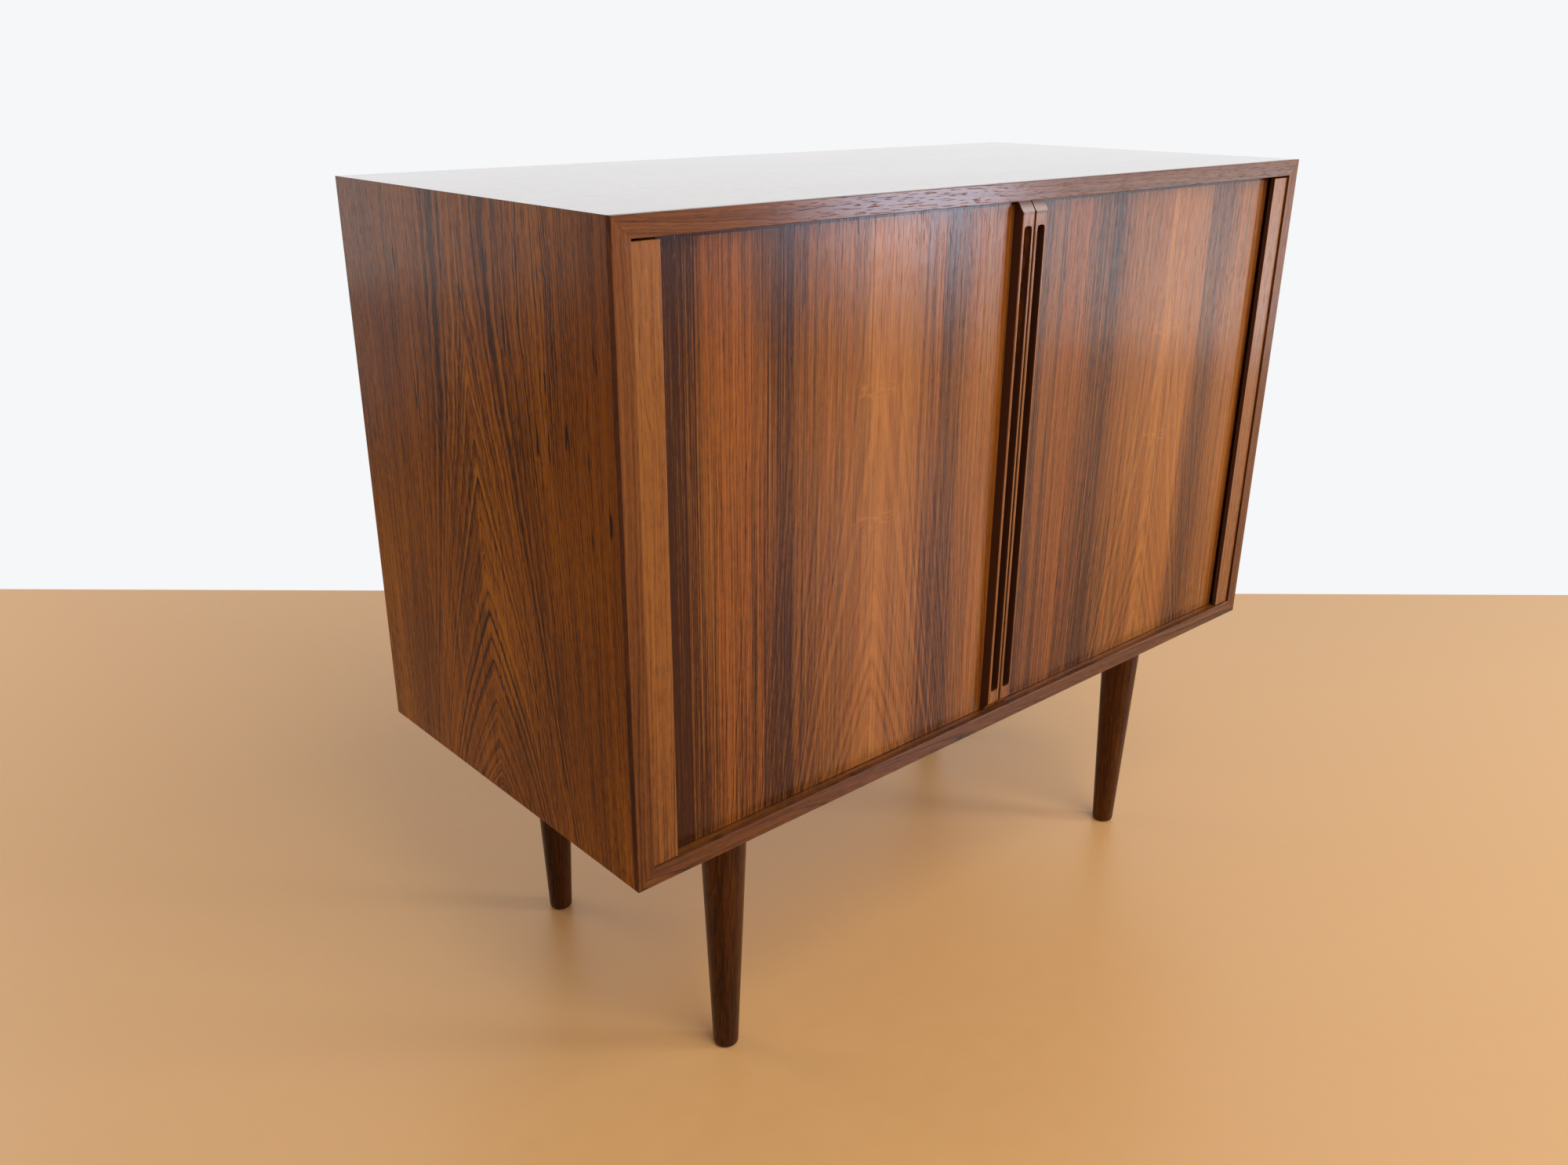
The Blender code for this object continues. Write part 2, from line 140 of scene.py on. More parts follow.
# Each lamp's place, its width and height, and its colour
LAMPS = {
    "key_lamp": ((-0.2, -2.6, 3.4), (2.8, 2.8), (1.0, 0.98, 0.95)),
    "side_lamp": ((2.8, -2.0, 0.41), (1.9, 0.62), (0.86, 0.94, 1.0)),
    "window_lamp": ((2.24, -2.50, 1.05), (0.66, 1.3), (0.64, 0.75, 1.0)),
    "far_lamp": ((-1.45, 2.1, 1.0), (1.0, 1.1), (1.0, 0.93, 0.90)),
}

# The woods: what each covers, and its dark, middle and light colour
SHADES = ("dark", "middle", "light")
WOODS = {
    "curtain": ("the door veneer", (0.045, 0.010, 0.002), (0.228, 0.075, 0.011), (0.43, 0.153, 0.027)),
    "case": ("the case veneer", (0.030, 0.009, 0.003), (0.165, 0.044, 0.003), (0.28, 0.084, 0.007)),
    "lipping": ("the lippings", (0.045, 0.014, 0.006), (0.145, 0.044, 0.010), (0.24, 0.080, 0.020)),
    "stile": ("the stiles and lead rails", (0.060, 0.016, 0.004), (0.26, 0.082, 0.013), (0.36, 0.134, 0.022)),
    "leg": ("the legs", (0.018, 0.006, 0.002), (0.066, 0.0165, 0.002), (0.125, 0.040, 0.005)),
    "inside": ("the inside", (0.18, 0.085, 0.036), (0.33, 0.17, 0.078), (0.44, 0.25, 0.125)),
}

# How much each effect changes a wood's tone, where its call gives no other amount. The two that end in "from"
# are a height and a share of the normal.
WOOD_AMOUNTS = {
    "streaks": 1.7, "mottle": 0.7, "rings": 1.0, "patches": 0.35, "lines": 0.3, "pores": 0.2, "marks": 0.0,
    "marks_from": -1.0, "drop": 0.0, "sides": 0.0, "sides_from": 0.7, "slots": 0.0, "slot_light": -2.2,
    "tip_highlight": 0.0, "under_tips": 0.35,
}

# The photograph's frame and the camera found from the case's corners
IMAGE_WIDTH = 2000
IMAGE_HEIGHT = 1486
FOCAL_PIXELS = 1655.34
PRINCIPAL_POINT = (991.91, 755.18)
CAMERA_PLACE = (-1.0571, -1.0487, 0.9898)
CAMERA_TURN = (1.1854, -0.0041, -0.7240)
SENSOR = 36.0


def setting(make=FloatProperty, **fixed):
    """A maker of settings of one kind, which takes a label, a description and a default."""
    return lambda name, description, default: make(name=name, description=description, default=default, min=0, **fixed)


length_prop = setting(precision=5, unit="LENGTH")
colour_prop = setting(FloatVectorProperty, size=3, max=1, subtype="COLOR")
share_prop = setting(max=1, subtype="FACTOR")
power_prop = setting(unit="POWER")


class CabinetSizes(bpy.types.PropertyGroup):
    """Small sizes of the finished surfaces."""

    seam: length_prop("Seam", "Open seam left at a mitre or behind a lipping", 0.00006)
    arris: length_prop("Arris", "Radius on the long edges of lippings and stiles", 0.0007)
    back_fit: length_prop("Back fit", "How much the back panel grows on each edge to fill its rebate", 0.00027)
    stile_gap: length_prop("Stile gap", "Dark gap between a stile's top and the lipping above it", 0.0017)
    slat_gap: length_prop("Slat gap", "Open joint between two slats", 0.00007)
    slat_arris: length_prop("Slat arris", "Radius on the face edges of a slat", 0.00010)
    rail_arris: length_prop("Rail arris", "Radius on the long edges of a lead rail", 0.0014)
    rail_gap: length_prop("Rail gap", "How much narrower a lead rail is where the two meet", 0.0005)
    slot_lip: length_prop("Slot lip", "Radius round the mouth of a finger slot", 0.0005)
    slot_fillet: length_prop("Slot fillet", "Radius in the bottom of a finger slot", 0.0015)
    shelf_arris: length_prop("Shelf arris", "Radius on the edges of a shelf", 0.0012)
    foot_round: length_prop("Foot round", "Radius under the foot of a leg", 0.0045)
    leg_segments: IntProperty(name="Leg segments", description="Flats round a leg", default=64, min=16)


class CabinetColours(bpy.types.PropertyGroup):
    """Colours and gloss of the woods, the brass and the canvas."""

    curtain_red: colour_prop("Curtain red", "Orange-red wood, as fine lines and near the stile", (0.30, 0.082, 0.012))
    case_warm: colour_prop("Case warm", "Orange patches of the case veneer", (0.40, 0.135, 0.007))
    # The rail tip colour is a painted highlight: glare on the upward-facing bevels at the tops of the lead rails
    rail_tip_highlight: colour_prop("Rail tip", "Pale cut ends of the lead rails at the top", (0.45, 0.34, 0.30))
    canvas: colour_prop("Canvas", "Backing cloth of the curtains", (0.42, 0.36, 0.27))
    brass: colour_prop("Brass", "Shelf pins and screws", (0.62, 0.44, 0.18))
    satin: share_prop("Satin", "Roughness of the polished woods", 0.215)
    polish: share_prop("Polish", "Roughness of the rubbed coat on the top", 0.07)
    rubbed: share_prop("Rubbed", "Roughness of the top lipping, which is rubbed most", 0.16)
    matt: share_prop("Matt", "Roughness of the inside woods", 0.55)


def add_wood_colours():
    """Gives CabinetColours the three colours of each wood in WOODS."""
    for family, (covered, *three) in WOODS.items():
        for shade, colour in zip(SHADES, three):
            label, meaning = f"{family} {shade}".capitalize(), f"{shade} wood of {covered}".capitalize()
            CabinetColours.__annotations__[f"{family}_{shade}"] = colour_prop(label, meaning, colour)


add_wood_colours()


class CabinetStage(bpy.types.PropertyGroup):
    """Floor, backdrop, sky and lamps."""

    floor: colour_prop("Floor", "Plain pale floor", (0.85, 0.457, 0.165))
    backdrop: colour_prop("Backdrop", "White behind the cabinet and in its reflections", (0.92, 0.93, 0.94))
    floor_radius: length_prop("Floor radius", "How far the floor reaches", 4.5)
    backdrop_distance: length_prop("Backdrop distance", "From the cabinet's middle to the backdrop", 0.954)
    sky: share_prop("Sky", "Strength of the even light from all round", 0.32)
    key_lamp: power_prop("Key lamp", "Large soft lamp above the front", 77)
    side_lamp: power_prop("Side lamp", "Low soft lamp on the right", 13)
    window_lamp: power_prop("Window lamp", "Cool lamp mirrored in the front", 52)
    far_lamp: power_prop("Far lamp", "Soft lamp mirrored in the side", 8)


# Shapes worked out as arrays


def lofted(rings):
    """A closed tube over rings of points: quads join ring to ring, and a flat cap closes both ends."""
    stations, around = rings.shape[:2]
    index = np.arange(stations * around).reshape(stations, around)
    following = np.roll(index, -1, axis=1)
    quads = np.stack([index[:-1], following[:-1], following[1:], index[1:]], axis=-1)
    faces = quads.reshape(-1, 4).tolist()
    faces += [index[0, ::-1].tolist(), index[-1].tolist()]
    return rings.reshape(-1, 3), faces


def quarter_turn(steps):
    return np.radians(np.linspace(0, 90, steps + 1))


def soft_box(low, high, radius, axis=2, steps=3):
    """A board with rounded arrises, as rings carried along one axis.

    A ring is the four corner centres, each plus radius * cos(lift) * (cos t, sin t) with t through that
    corner's quarter turn. At both ends lift runs from 0 to 90 degrees while the ring moves out by
    radius * sin(lift), so edges and corners are parts of cylinders and spheres.
    """
    order = [(axis + 1) % 3, (axis + 2) % 3, axis]
    low, high = np.array(low)[order], np.array(high)[order]
    turn = quarter_turn(steps)
    lift = np.concatenate([turn[::-1], turn])[:, None]
    way = np.repeat([-1, 1], steps + 1)[:, None]
    quarter = np.repeat(np.arange(4), steps + 1)
    angle = np.radians(quarter * 90) + np.tile(turn, 4)
    half = (high - low) / 2 - radius
    first = np.where((quarter == 0) | (quarter == 3), half[0], -half[0]) + radius * np.cos(lift) * np.cos(angle)
    second = np.where(quarter < 2, half[1], -half[1]) + radius * np.cos(lift) * np.sin(angle)
    along = np.broadcast_to(way * (half[2] + radius * np.sin(lift)), first.shape)
    rings = np.empty((*first.shape, 3))
    rings[..., order] = np.stack([first, second, along], axis=-1) + (low + high) / 2
    return lofted(rings)


def mitred_bar(place, section, seam):
    """A section of (depth inwards, y) points carried along one side of the front's rectangle.

    Both ends are cut at 45 degrees: the half length at a point is the side's half length less its depth.
    """
    depth, back = section.T
    ends = np.array([-1, 1])[:, None]
    half_height = (TOP - UNDERSIDE) / 2
    if place in ("top", "bottom"):
        x = ends * (HALF_WIDTH - seam - depth)
        z = TOP - depth if place == "top" else UNDERSIDE + depth
    else:
        x = depth - HALF_WIDTH if place == "left" else HALF_WIDTH - depth
        z = UNDERSIDE + half_height + ends * (half_height - seam - depth)
    return lofted(np.stack(np.broadcast_arrays(x, back, z), axis=-1))


def rounded_front(width, depth, radius, steps=3):
    """Outline of a bar seen from its end: two quarter circles on the front corners, sharp corners behind."""
    turn = quarter_turn(steps)
    left = np.stack([radius * (1 - np.cos(turn)), radius * (1 - np.sin(turn))], axis=-1)
    right = np.stack([width - left[::-1, 0], left[::-1, 1]], axis=-1)
    return np.concatenate([left, right, [(width, depth), (0, depth)]])


def turned(profile, centre, axis=2, segments=48):
    """A profile of (radius, height) pairs turned about an axis: across = r cos t and r sin t, along = h."""
    radius, height = np.array(profile).T[:, :, None]
    angle = 2 * np.pi * np.arange(segments) / segments
    order = [(axis + 1) % 3, (axis + 2) % 3, axis]
    rings = np.empty((len(profile), segments, 3))
    parts = np.broadcast_arrays(radius * np.cos(angle), radius * np.sin(angle), height)
    rings[..., order] = np.stack(parts, axis=-1)
    return lofted(rings + np.array(centre))


def on_track(along, behind):
    """x and y on the right curtain's track, from distances along it and behind the curtain's face.

    Straight to the corner's start, then a quarter circle round the corner's centre, then straight back.
    """
    layer = TRACK_RADIUS + TONGUE_MIDDLE - behind
    angle = np.clip((along - CORNER_START) / TRACK_RADIUS, 0, np.pi / 2)
    before = np.minimum(along - CORNER_START, 0)
    after = np.maximum(along - CORNER_START - TRACK_RADIUS * np.pi / 2, 0)
    x = CORNER_START + before + layer * np.sin(angle)
    y = CORNER_CENTRE_Y + after - layer * np.cos(angle)
    return x, y


def slat(middle, side, sizes):
    """One slat with rounded face edges and thinner tongues, set square to the track at its own middle.

    Its outline is carried upwards; at the tongues every point is pushed back to the tongue's shoulder.
    """
    width = SLAT_PITCH - sizes.slat_gap
    outline = rounded_front(width, SLAT_THICKNESS, sizes.slat_arris, steps=2)
    across, behind = outline[:, 0] - width / 2, outline[:, 1]
    arris = sizes.slat_arris
    heights = [TONGUE_LOW, SHOULDER_LOW, SHOULDER_LOW, SHOULDER_LOW + arris]
    heights += [SHOULDER_HIGH - arris, SHOULDER_HIGH, SHOULDER_HIGH, TONGUE_HIGH]
    pushed = np.array([TONGUE_SHOULDER, TONGUE_SHOULDER, arris, 0])
    pushed = np.concatenate([pushed, pushed[::-1]])[:, None]
    behind = np.maximum(behind, pushed) - TONGUE_MIDDLE
    angle = np.clip((middle - CORNER_START) / TRACK_RADIUS, 0, np.pi / 2)
    middle_x, middle_y = on_track(middle, TONGUE_MIDDLE)
    x = middle_x + across * np.cos(angle) - behind * np.sin(angle)
    y = middle_y + across * np.sin(angle) + behind * np.cos(angle)
    return lofted(np.stack([side * x, y, np.broadcast_to(np.array(heights)[:, None], x.shape)], axis=-1))


def canvas_backing(start, side, steps=12):
    """The cloth behind a strip: a thin sheet whose two faces follow the track, carried upwards."""
    length = SLATS_PER_STRIP * SLAT_PITCH
    along = start + np.linspace(0, length, steps + 1)
    along = np.concatenate([along, along[::-1]])
    behind = np.repeat([SLAT_THICKNESS, CURTAIN_THICKNESS], steps + 1)
    x, y = on_track(along, behind)
    heights = np.array([[SHOULDER_LOW + CANVAS_INSET], [SHOULDER_HIGH - CANVAS_INSET]])
    return lofted(np.stack(np.broadcast_arrays(side * x, y, heights), axis=-1))


def rail_ring(y, half, top, bottom, square, steps=24):
    """A closed ring at depth y: two half turns of radius half round a top and a bottom centre.

    Where square is 1 the half turns are stretched onto a rectangle, dividing by the larger of |cos t|
    and |sin t|; where it is 0 they stay round, and the finger slot's ends lie between the two.
    """
    angle = np.radians(np.linspace(0, 180, steps + 1))
    angle = np.concatenate([angle, angle + np.pi])
    cosine, sine = np.cos(angle), np.sin(angle)
    reach = 1 + square * (1 / np.maximum(np.abs(cosine), np.abs(sine)) - 1)
    centre = np.repeat([top, bottom], steps + 1)
    return np.stack([half * reach * cosine, np.full(len(angle), y), centre + half * reach * sine], axis=-1)


def lead_rail(side, sizes):
    """A lead rail as one run of rings: its back, tongues, bevelled ends, rounded face, and finger slot.

    Every ring is a rectangle up to the face, and from the slot's lip inwards a slot whose ends are part square.
    """
    low, high = (RAIL_LOW, RAIL_HIGH) if side > 0 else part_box("left_lead_rail")
    width_half = (high.x - low.x - sizes.rail_gap) / 2
    face = RAIL_LOW.y
    shoulder = CURTAIN_FACE + TONGUE_SHOULDER
    bevelled = face + RAIL_BEVEL_DEPTH

    def rectangle(y, half, ends):
        return rail_ring(y, half, SHOULDER_HIGH - ends - half, SHOULDER_LOW + ends + half, 1)

    def slot(y, half):
        return rail_ring(y, half, CEILING - SLOT_END - SLOT_HALF, FLOOR + SLOT_END + SLOT_HALF, SLOT_SQUARE)

    tongue = SHOULDER_HIGH - TONGUE_HIGH
    rings = [rectangle(RAIL_HIGH.y, width_half, tongue), rectangle(shoulder, width_half, tongue)]
    rings += [rectangle(shoulder, width_half, 0), rectangle(bevelled, width_half, 0)]
    turn = quarter_turn(4)
    for angle in turn:
        y = face + sizes.rail_arris * (1 - np.sin(angle))
        ends = RAIL_BEVEL_HEIGHT * (bevelled - y) / RAIL_BEVEL_DEPTH
        rings.append(rectangle(y, width_half - sizes.rail_arris * (1 - np.cos(angle)), ends))
    for angle in turn:
        lip = sizes.slot_lip * (1 - np.sin(angle))
        rings.append(slot(face + sizes.slot_lip * (1 - np.cos(angle)), SLOT_HALF + lip))
    for angle in turn:
        fillet = sizes.slot_fillet * (1 - np.cos(angle))
        y = face + SLOT_DEPTH - sizes.slot_fillet * (1 - np.sin(angle))
        rings.append(slot(y, SLOT_HALF - fillet))
    rings = np.array(rings)
    rings[..., 0] += (low.x + high.x + side * sizes.rail_gap) / 2
    return lofted(rings)


def floor_disc(radius, rings=48, segments=96):
    """A flat disc on the floor: x = r cos t and y = r sin t, with r growing by squares from the middle."""
    distance = radius * np.linspace(0.02, 1, rings) ** 2
    angle = 2 * np.pi * np.arange(segments) / segments
    x, y = np.outer(distance, np.cos(angle)), np.outer(distance, np.sin(angle))
    points, faces = lofted(np.stack([x, y, np.zeros_like(x)], axis=-1))
    return points, faces[:-1]


# Pieces


def new_mesh(name, shapes):
    """A mesh of one or more (points, faces, material) shapes, merged at their poles, with faces outwards."""
    mesh = bpy.data.meshes.new(name)
    points, faces, slots = [], [], []
    for shape_points, shape_faces, material in shapes:
        if material.name not in mesh.materials:
            mesh.materials.append(material)
        start = sum(len(p) for p in points)
        faces += [[start + corner for corner in face] for face in shape_faces]
        slots += [mesh.materials.find(material.name)] * len(shape_faces)
        points.append(shape_points)
    mesh.from_pydata(np.concatenate(points).tolist(), [], faces)
    mesh.polygons.foreach_set("material_index", slots)
    merged = bmesh.new()
    merged.from_mesh(mesh)
    bmesh.ops.remove_doubles(merged, verts=merged.verts, dist=MERGE)
    bmesh.ops.recalc_face_normals(merged, faces=merged.faces)
    merged.to_mesh(mesh)
    merged.free()
    mesh.shade_smooth()
    mesh.set_sharp_from_angle(angle=math.radians(SHARP_ANGLE))
    return mesh


def linked(name, data):
    """A new object in the scene."""
    obj = bpy.data.objects.new(name, data)
    bpy.context.scene.collection.objects.link(obj)
    return obj


def add_piece(name, shapes, body, slot_name, *replaced):
    """A finished piece in the scene, riding on its body and standing for the CAD nodes that it replaces."""
    piece = linked(name, new_mesh(name, shapes))
    weighted = piece.modifiers.new("Flat faces", "WEIGHTED_NORMAL")
    weighted.keep_sharp = True
    weighted.weight = 60
    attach(piece, body)
    if replaced:
        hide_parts(*replaced)
    return piece


def dress(node, ending, shape, material, slot_name, body="case"):
    """The finished piece that stands for one CAD node, from its (points, faces) and its material's name."""
    return add_piece(f"{node}_{ending}", [(*shape, finished(material))], body, slot_name, node)


def finish_node(node, material):
    """Gives a CAD node that stays its material."""
    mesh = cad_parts[node].data
    mesh.materials.clear()
    mesh.materials.append(material)


def closed_board(node, seam):
    """Points and faces of a case board, merged, with its mitres moved out to meet the next boards.

    A point lies on a mitre where its distance in from the end equals its depth from the outer face,
    within MITRE_REACH; its place along the board becomes the half length less that depth.
    """
    merged = bmesh.new()
    merged.from_mesh(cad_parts[node].data)
    bmesh.ops.remove_doubles(merged, verts=merged.verts, dist=MERGE * 5)
    faces = [[vert.index for vert in face.verts] for face in merged.faces]
    points = np.array([vert.co for vert in merged.verts], float)
    merged.free()
    level = node in ("top_panel", "bottom_panel")
    along, outer = (0, 2) if level else (2, 0)
    middle = np.array([0, 0, (TOP + UNDERSIDE) / 2])
    half = np.array([HALF_WIDTH, 0, (TOP - UNDERSIDE) / 2])
    depth = half[outer] - np.abs(points[:, outer] - middle[outer])
    place = points[:, along] - middle[along]
    mitre = np.abs(half[along] - np.abs(place) - depth) < MITRE_REACH
    moved = np.sign(place) * (half[along] - seam - depth) + middle[along]
    points[:, along] = np.where(mitre, moved, points[:, along])
    return points, faces


def with_room(points, faces, level, veneer):
    """A level board's points and faces after a recess is cut in its inner face over each side pocket.

    Each recess is a plain block with rounded corners, round the tongues of the strips that an open curtain stacks.
    The CAD's boards have none, so there the stacked strips overlap the boards' wood. The recess hides that from
    view and doesn't mend the motion.
    """
    blocks = []
    for _, way in SIDES:
        left, right = sorted(way * x for x in STACK_X)
        low = Vector((left, STACK_Y[0], level - ROOM_DEPTH))
        high = Vector((right, STACK_Y[1], level + ROOM_DEPTH))
        blocks.append((*soft_box(low, high, ROOM_CORNER), veneer))
    shapes = {"whole_board": [(points, faces, veneer)], "room_blocks": blocks}
    board, cutter = (linked(name, new_mesh(name, shape)) for name, shape in shapes.items())
    room = board.modifiers.new("Room", "BOOLEAN")
    room.object, room.operation, room.solver = cutter, "DIFFERENCE", "EXACT"
    mesh = board.evaluated_get(bpy.context.evaluated_depsgraph_get()).to_mesh()
    points = np.array([vert.co for vert in mesh.vertices], float)
    faces = [list(face.vertices) for face in mesh.polygons]
    for obj in (board, cutter):
        data = obj.data
        bpy.data.objects.remove(obj)
        bpy.data.meshes.remove(data)
    return points, faces


# Shader node groups and materials


class Nodes:
    """Adds nodes to one tree. Any input takes a number, a colour or another node's socket."""

    def __init__(self, tree):
        self.tree = tree

    def join(self, targets, values):
        """Links or sets each input that the values name."""
        for socket, value in values.items():
            if isinstance(value, bpy.types.NodeSocket):
                self.tree.links.new(value, targets[socket])
            else:
                targets[socket].default_value = value

    def add(self, kind, inputs=None, **settings):
        node = self.tree.nodes.new(kind)
        for name, value in settings.items():
            setattr(node, name, value)
        self.join(node.inputs, inputs or {})
        return node

    def group(self, name, inputs):
        return self.add("ShaderNodeGroup", inputs, node_tree=bpy.data.node_groups[name]).outputs

    def math(self, operation, *values, clamp=False):
        return self.add("ShaderNodeMath", dict(enumerate(values)), operation=operation, use_clamp=clamp).outputs[0]

    def times(self, first, second, clamp=False):
        return self.math("MULTIPLY", first, second, clamp=clamp)

    def madd(self, first, second, third, clamp=False):
        """First times second, plus third."""
        return self.math("MULTIPLY_ADD", first, second, third, clamp=clamp)

    def minus(self, first, second):
        return self.math("SUBTRACT", first, second)

    def centred(self, value):
        return self.minus(value, 0.5)

    def apart(self, first, second):
        return self.math("ABSOLUTE", self.minus(first, second))

    def total(self, start, rows):
        """The start plus each row's source times its share."""
        for source, share in rows:
            start = self.madd(source, share, start)
        return start

    def axes(self, vector):
        return self.add("ShaderNodeSeparateXYZ", {0: vector}).outputs

    def noise(self, vector, scales, detail=2.0, roughness=0.5):
        vector = self.add("ShaderNodeVectorMath", {0: vector, 1: scales}, operation="MULTIPLY").outputs[0]
        inputs = {"Vector": vector, "Scale": 1.0, "Detail": detail, "Roughness": roughness}
        return self.add("ShaderNodeTexNoise", inputs).outputs[0]

    def noise_along(self, distance, detail):
        inputs = {"W": distance, "Scale": 1.0, "Detail": detail, "Roughness": 0.6}
        return self.add("ShaderNodeTexNoise", inputs, noise_dimensions="1D").outputs[0]

    def step(self, value, start, end, low=0.0, high=1.0):
        inputs = {"Value": value, "From Min": start, "From Max": end, "To Min": low, "To Max": high}
        return self.add("ShaderNodeMapRange", inputs, interpolation_type="SMOOTHSTEP").outputs[0]

    def mix(self, factor, first, second):
        inputs = {0: factor, 6: opaque(first), 7: opaque(second)}
        return self.add("ShaderNodeMix", inputs, data_type="RGBA").outputs[2]

    def varied(self, factor, colour, darker, lighter):
        """A colour between two multiples of itself."""
        colour = np.array(colour)
        return self.mix(factor, colour * darker, np.minimum(colour * lighter, 1.0))

    def ramp(self, value, stops):
        node = self.add("ShaderNodeValToRGB", {0: value})
        node.color_ramp.interpolation = "LINEAR"
        elements = node.color_ramp.elements
        elements[0].position, elements[1].position = stops[0][0], stops[-1][0]
        for element, level in ((elements[0], stops[0][1]), (elements[1], stops[-1][1])):
            element.color = (level, level, level, 1)
        for position, level in stops[1:-1]:
            elements.new(position).color = (level, level, level, 1)
        return node.outputs[0]


def opaque(colour):
    """A colour with its alpha, or a socket as it is."""
    return colour if isinstance(colour, bpy.types.NodeSocket) else (*colour, 1.0)


def new_group(name, inputs, outputs):
    """An empty node group. Returns its Nodes, the sockets that it is given and those that it gives.

    An input is named with its default number, or with its kind if it isn't a number. Only "Colour" is a colour.
    """
    tree = bpy.data.node_groups.new(name, "ShaderNodeTree")
    for socket, value in inputs.items():
        kind = value if isinstance(value, str) else "Float"
        made = tree.interface.new_socket(socket, in_out="INPUT", socket_type="NodeSocket" + kind)
        if kind != value:
            made.default_value = value
    for socket in outputs:
        kind = "Color" if socket == "Colour" else "Float"
        tree.interface.new_socket(socket, in_out="OUTPUT", socket_type="NodeSocket" + kind)
    nodes = Nodes(tree)
    return nodes, nodes.add("NodeGroupInput").outputs, nodes.add("NodeGroupOutput").inputs


def figure_group():
    """Growth rings cut by a flat board, as lines of equal radius, with their arches' points upwards.

    With q = sqrt(across^2 + heart^2), radius = q * (1 + sweep * q^2) + taper * h * (1.75 - h), bent by noise that
    grows with height. A line is dark where the fraction of radius / spacing nears one, and its strength
    wanders along the radius.
    """
    inputs = {"Vector": "Vector", "Centre": 0.0, "Heart": 0.02, "Sweep": 0.0, "Taper": 0.1, "Spacing": 0.006}
    nodes, given, out = new_group("wood_figure", {**inputs, "Wander": 0.02}, ("Rings", "Lines"))
    vector, separate = given["Vector"], nodes.axes(given["Vector"])
    slow = nodes.noise(vector, (6.0, 6.0, 3.0), 2.0)
    quick = nodes.noise(vector, (34.0, 34.0, 13.0), 3.0, 0.6)
    bend = nodes.madd(nodes.centred(quick), 0.36, nodes.centred(slow))
    bend = nodes.times(bend, nodes.step(separate["Z"], 0.55, 0.80, 0.6, 2.2))
    across = nodes.minus(separate["X"], given["Centre"])
    across = nodes.madd(bend, given["Wander"], across)
    square = nodes.madd(across, across, nodes.times(given["Heart"], given["Heart"]))
    spread = nodes.times(nodes.math("SQRT", square), nodes.madd(given["Sweep"], square, 1.0))
    height = nodes.times(separate["Z"], nodes.minus(1.75, separate["Z"]))
    radius = nodes.madd(height, given["Taper"], spread)
    along = nodes.math("DIVIDE", radius, given["Spacing"])
    rings = nodes.noise_along(nodes.times(along, 1.7), 3.0)
    uneven = nodes.noise_along(nodes.times(along, 0.8), 1.0)
    ragged = nodes.noise(vector, (420.0, 420.0, 16.0), 2.0)
    saw = nodes.madd(ragged, 0.16, nodes.madd(uneven, 1.1, along))
    saw = nodes.math("FRACT", saw)
    late = nodes.times(nodes.step(saw, 0.76, 0.95), nodes.step(saw, 1.0, 0.97))
    strength = nodes.step(nodes.noise_along(nodes.madd(along, 0.6, 40.0), 1.0), 0.35, 0.62)
    nodes.join(out, {"Rings": rings, "Lines": nodes.times(late, strength)})


def fibre_group():
    """Fine grain along the height, from noises stretched lengthwise.

    Streaks are long and narrow, the mottle is short and wide, pores are short fine dashes, and marks are
    rare dark dashes with pointed ends.
    """
    nodes, given, out = new_group("wood_fibre", {"Vector": "Vector"}, ("Streaks", "Mottle", "Pores", "Marks"))
    vector = given["Vector"]
    broad = nodes.noise(vector, (150.0, 150.0, 1.8), 4.0, 0.7)
    fine = nodes.noise(vector, (560.0, 560.0, 3.0), 2.0, 0.6)
    hair = nodes.noise(vector, (1500.0, 1500.0, 8.0), 1.0)
    streaks = nodes.madd(broad, 0.36, nodes.times(fine, 0.40))
    streaks = nodes.madd(hair, 0.24, streaks)
    mottle = nodes.noise(vector, (260.0, 260.0, 70.0), 4.0, 0.7)
    pores = nodes.noise(vector, (1250.0, 1250.0, 60.0), 1.0)
    marks = nodes.noise(vector, (150.0, 150.0, 15.0), 1.5)
    nodes.join(out, {"Streaks": streaks, "Mottle": mottle})
    nodes.join(out, {"Pores": nodes.step(pores, 0.60, 0.72), "Marks": nodes.step(marks, 0.655, 0.72)})


def tone_group():
    """A wood's colour from its tone: 0 is dark, a half is middle and 1 is light."""
    inputs = {"Tone": 0.5, "Dark": "Color", "Middle": "Color", "Light": "Color"}
    nodes, given, out = new_group("wood_tone", inputs, ("Colour",))
    lower = nodes.times(given["Tone"], 2.0, clamp=True)
    upper = nodes.madd(given["Tone"], 2.0, -1.0, clamp=True)
    colour = nodes.mix(upper, nodes.mix(lower, given["Dark"], given["Middle"]), given["Light"])
    nodes.join(out, {"Colour": colour})


def finish_group():
    """Roughness and relief of a finished wood: pores are dull and sunk, and the polish varies with the grain."""
    inputs = {"Roughness": 0.4, "Streaks": 0.5, "Pores": 0.0, "Vector": "Vector"}
    nodes, given, out = new_group("wood_finish", inputs, ("Roughness", "Height"))
    handled = nodes.noise(given["Vector"], (9.0, 9.0, 5.0), 2.0)
    rough = nodes.madd(nodes.centred(given["Streaks"]), 0.10, given["Roughness"])
    rough = nodes.madd(nodes.centred(handled), 0.10, rough)
    rough = nodes.madd(given["Pores"], 0.10, rough)
    height = nodes.madd(given["Pores"], -1.0, nodes.times(given["Streaks"], 0.6))
    nodes.join(out, {"Roughness": rough, "Height": height})


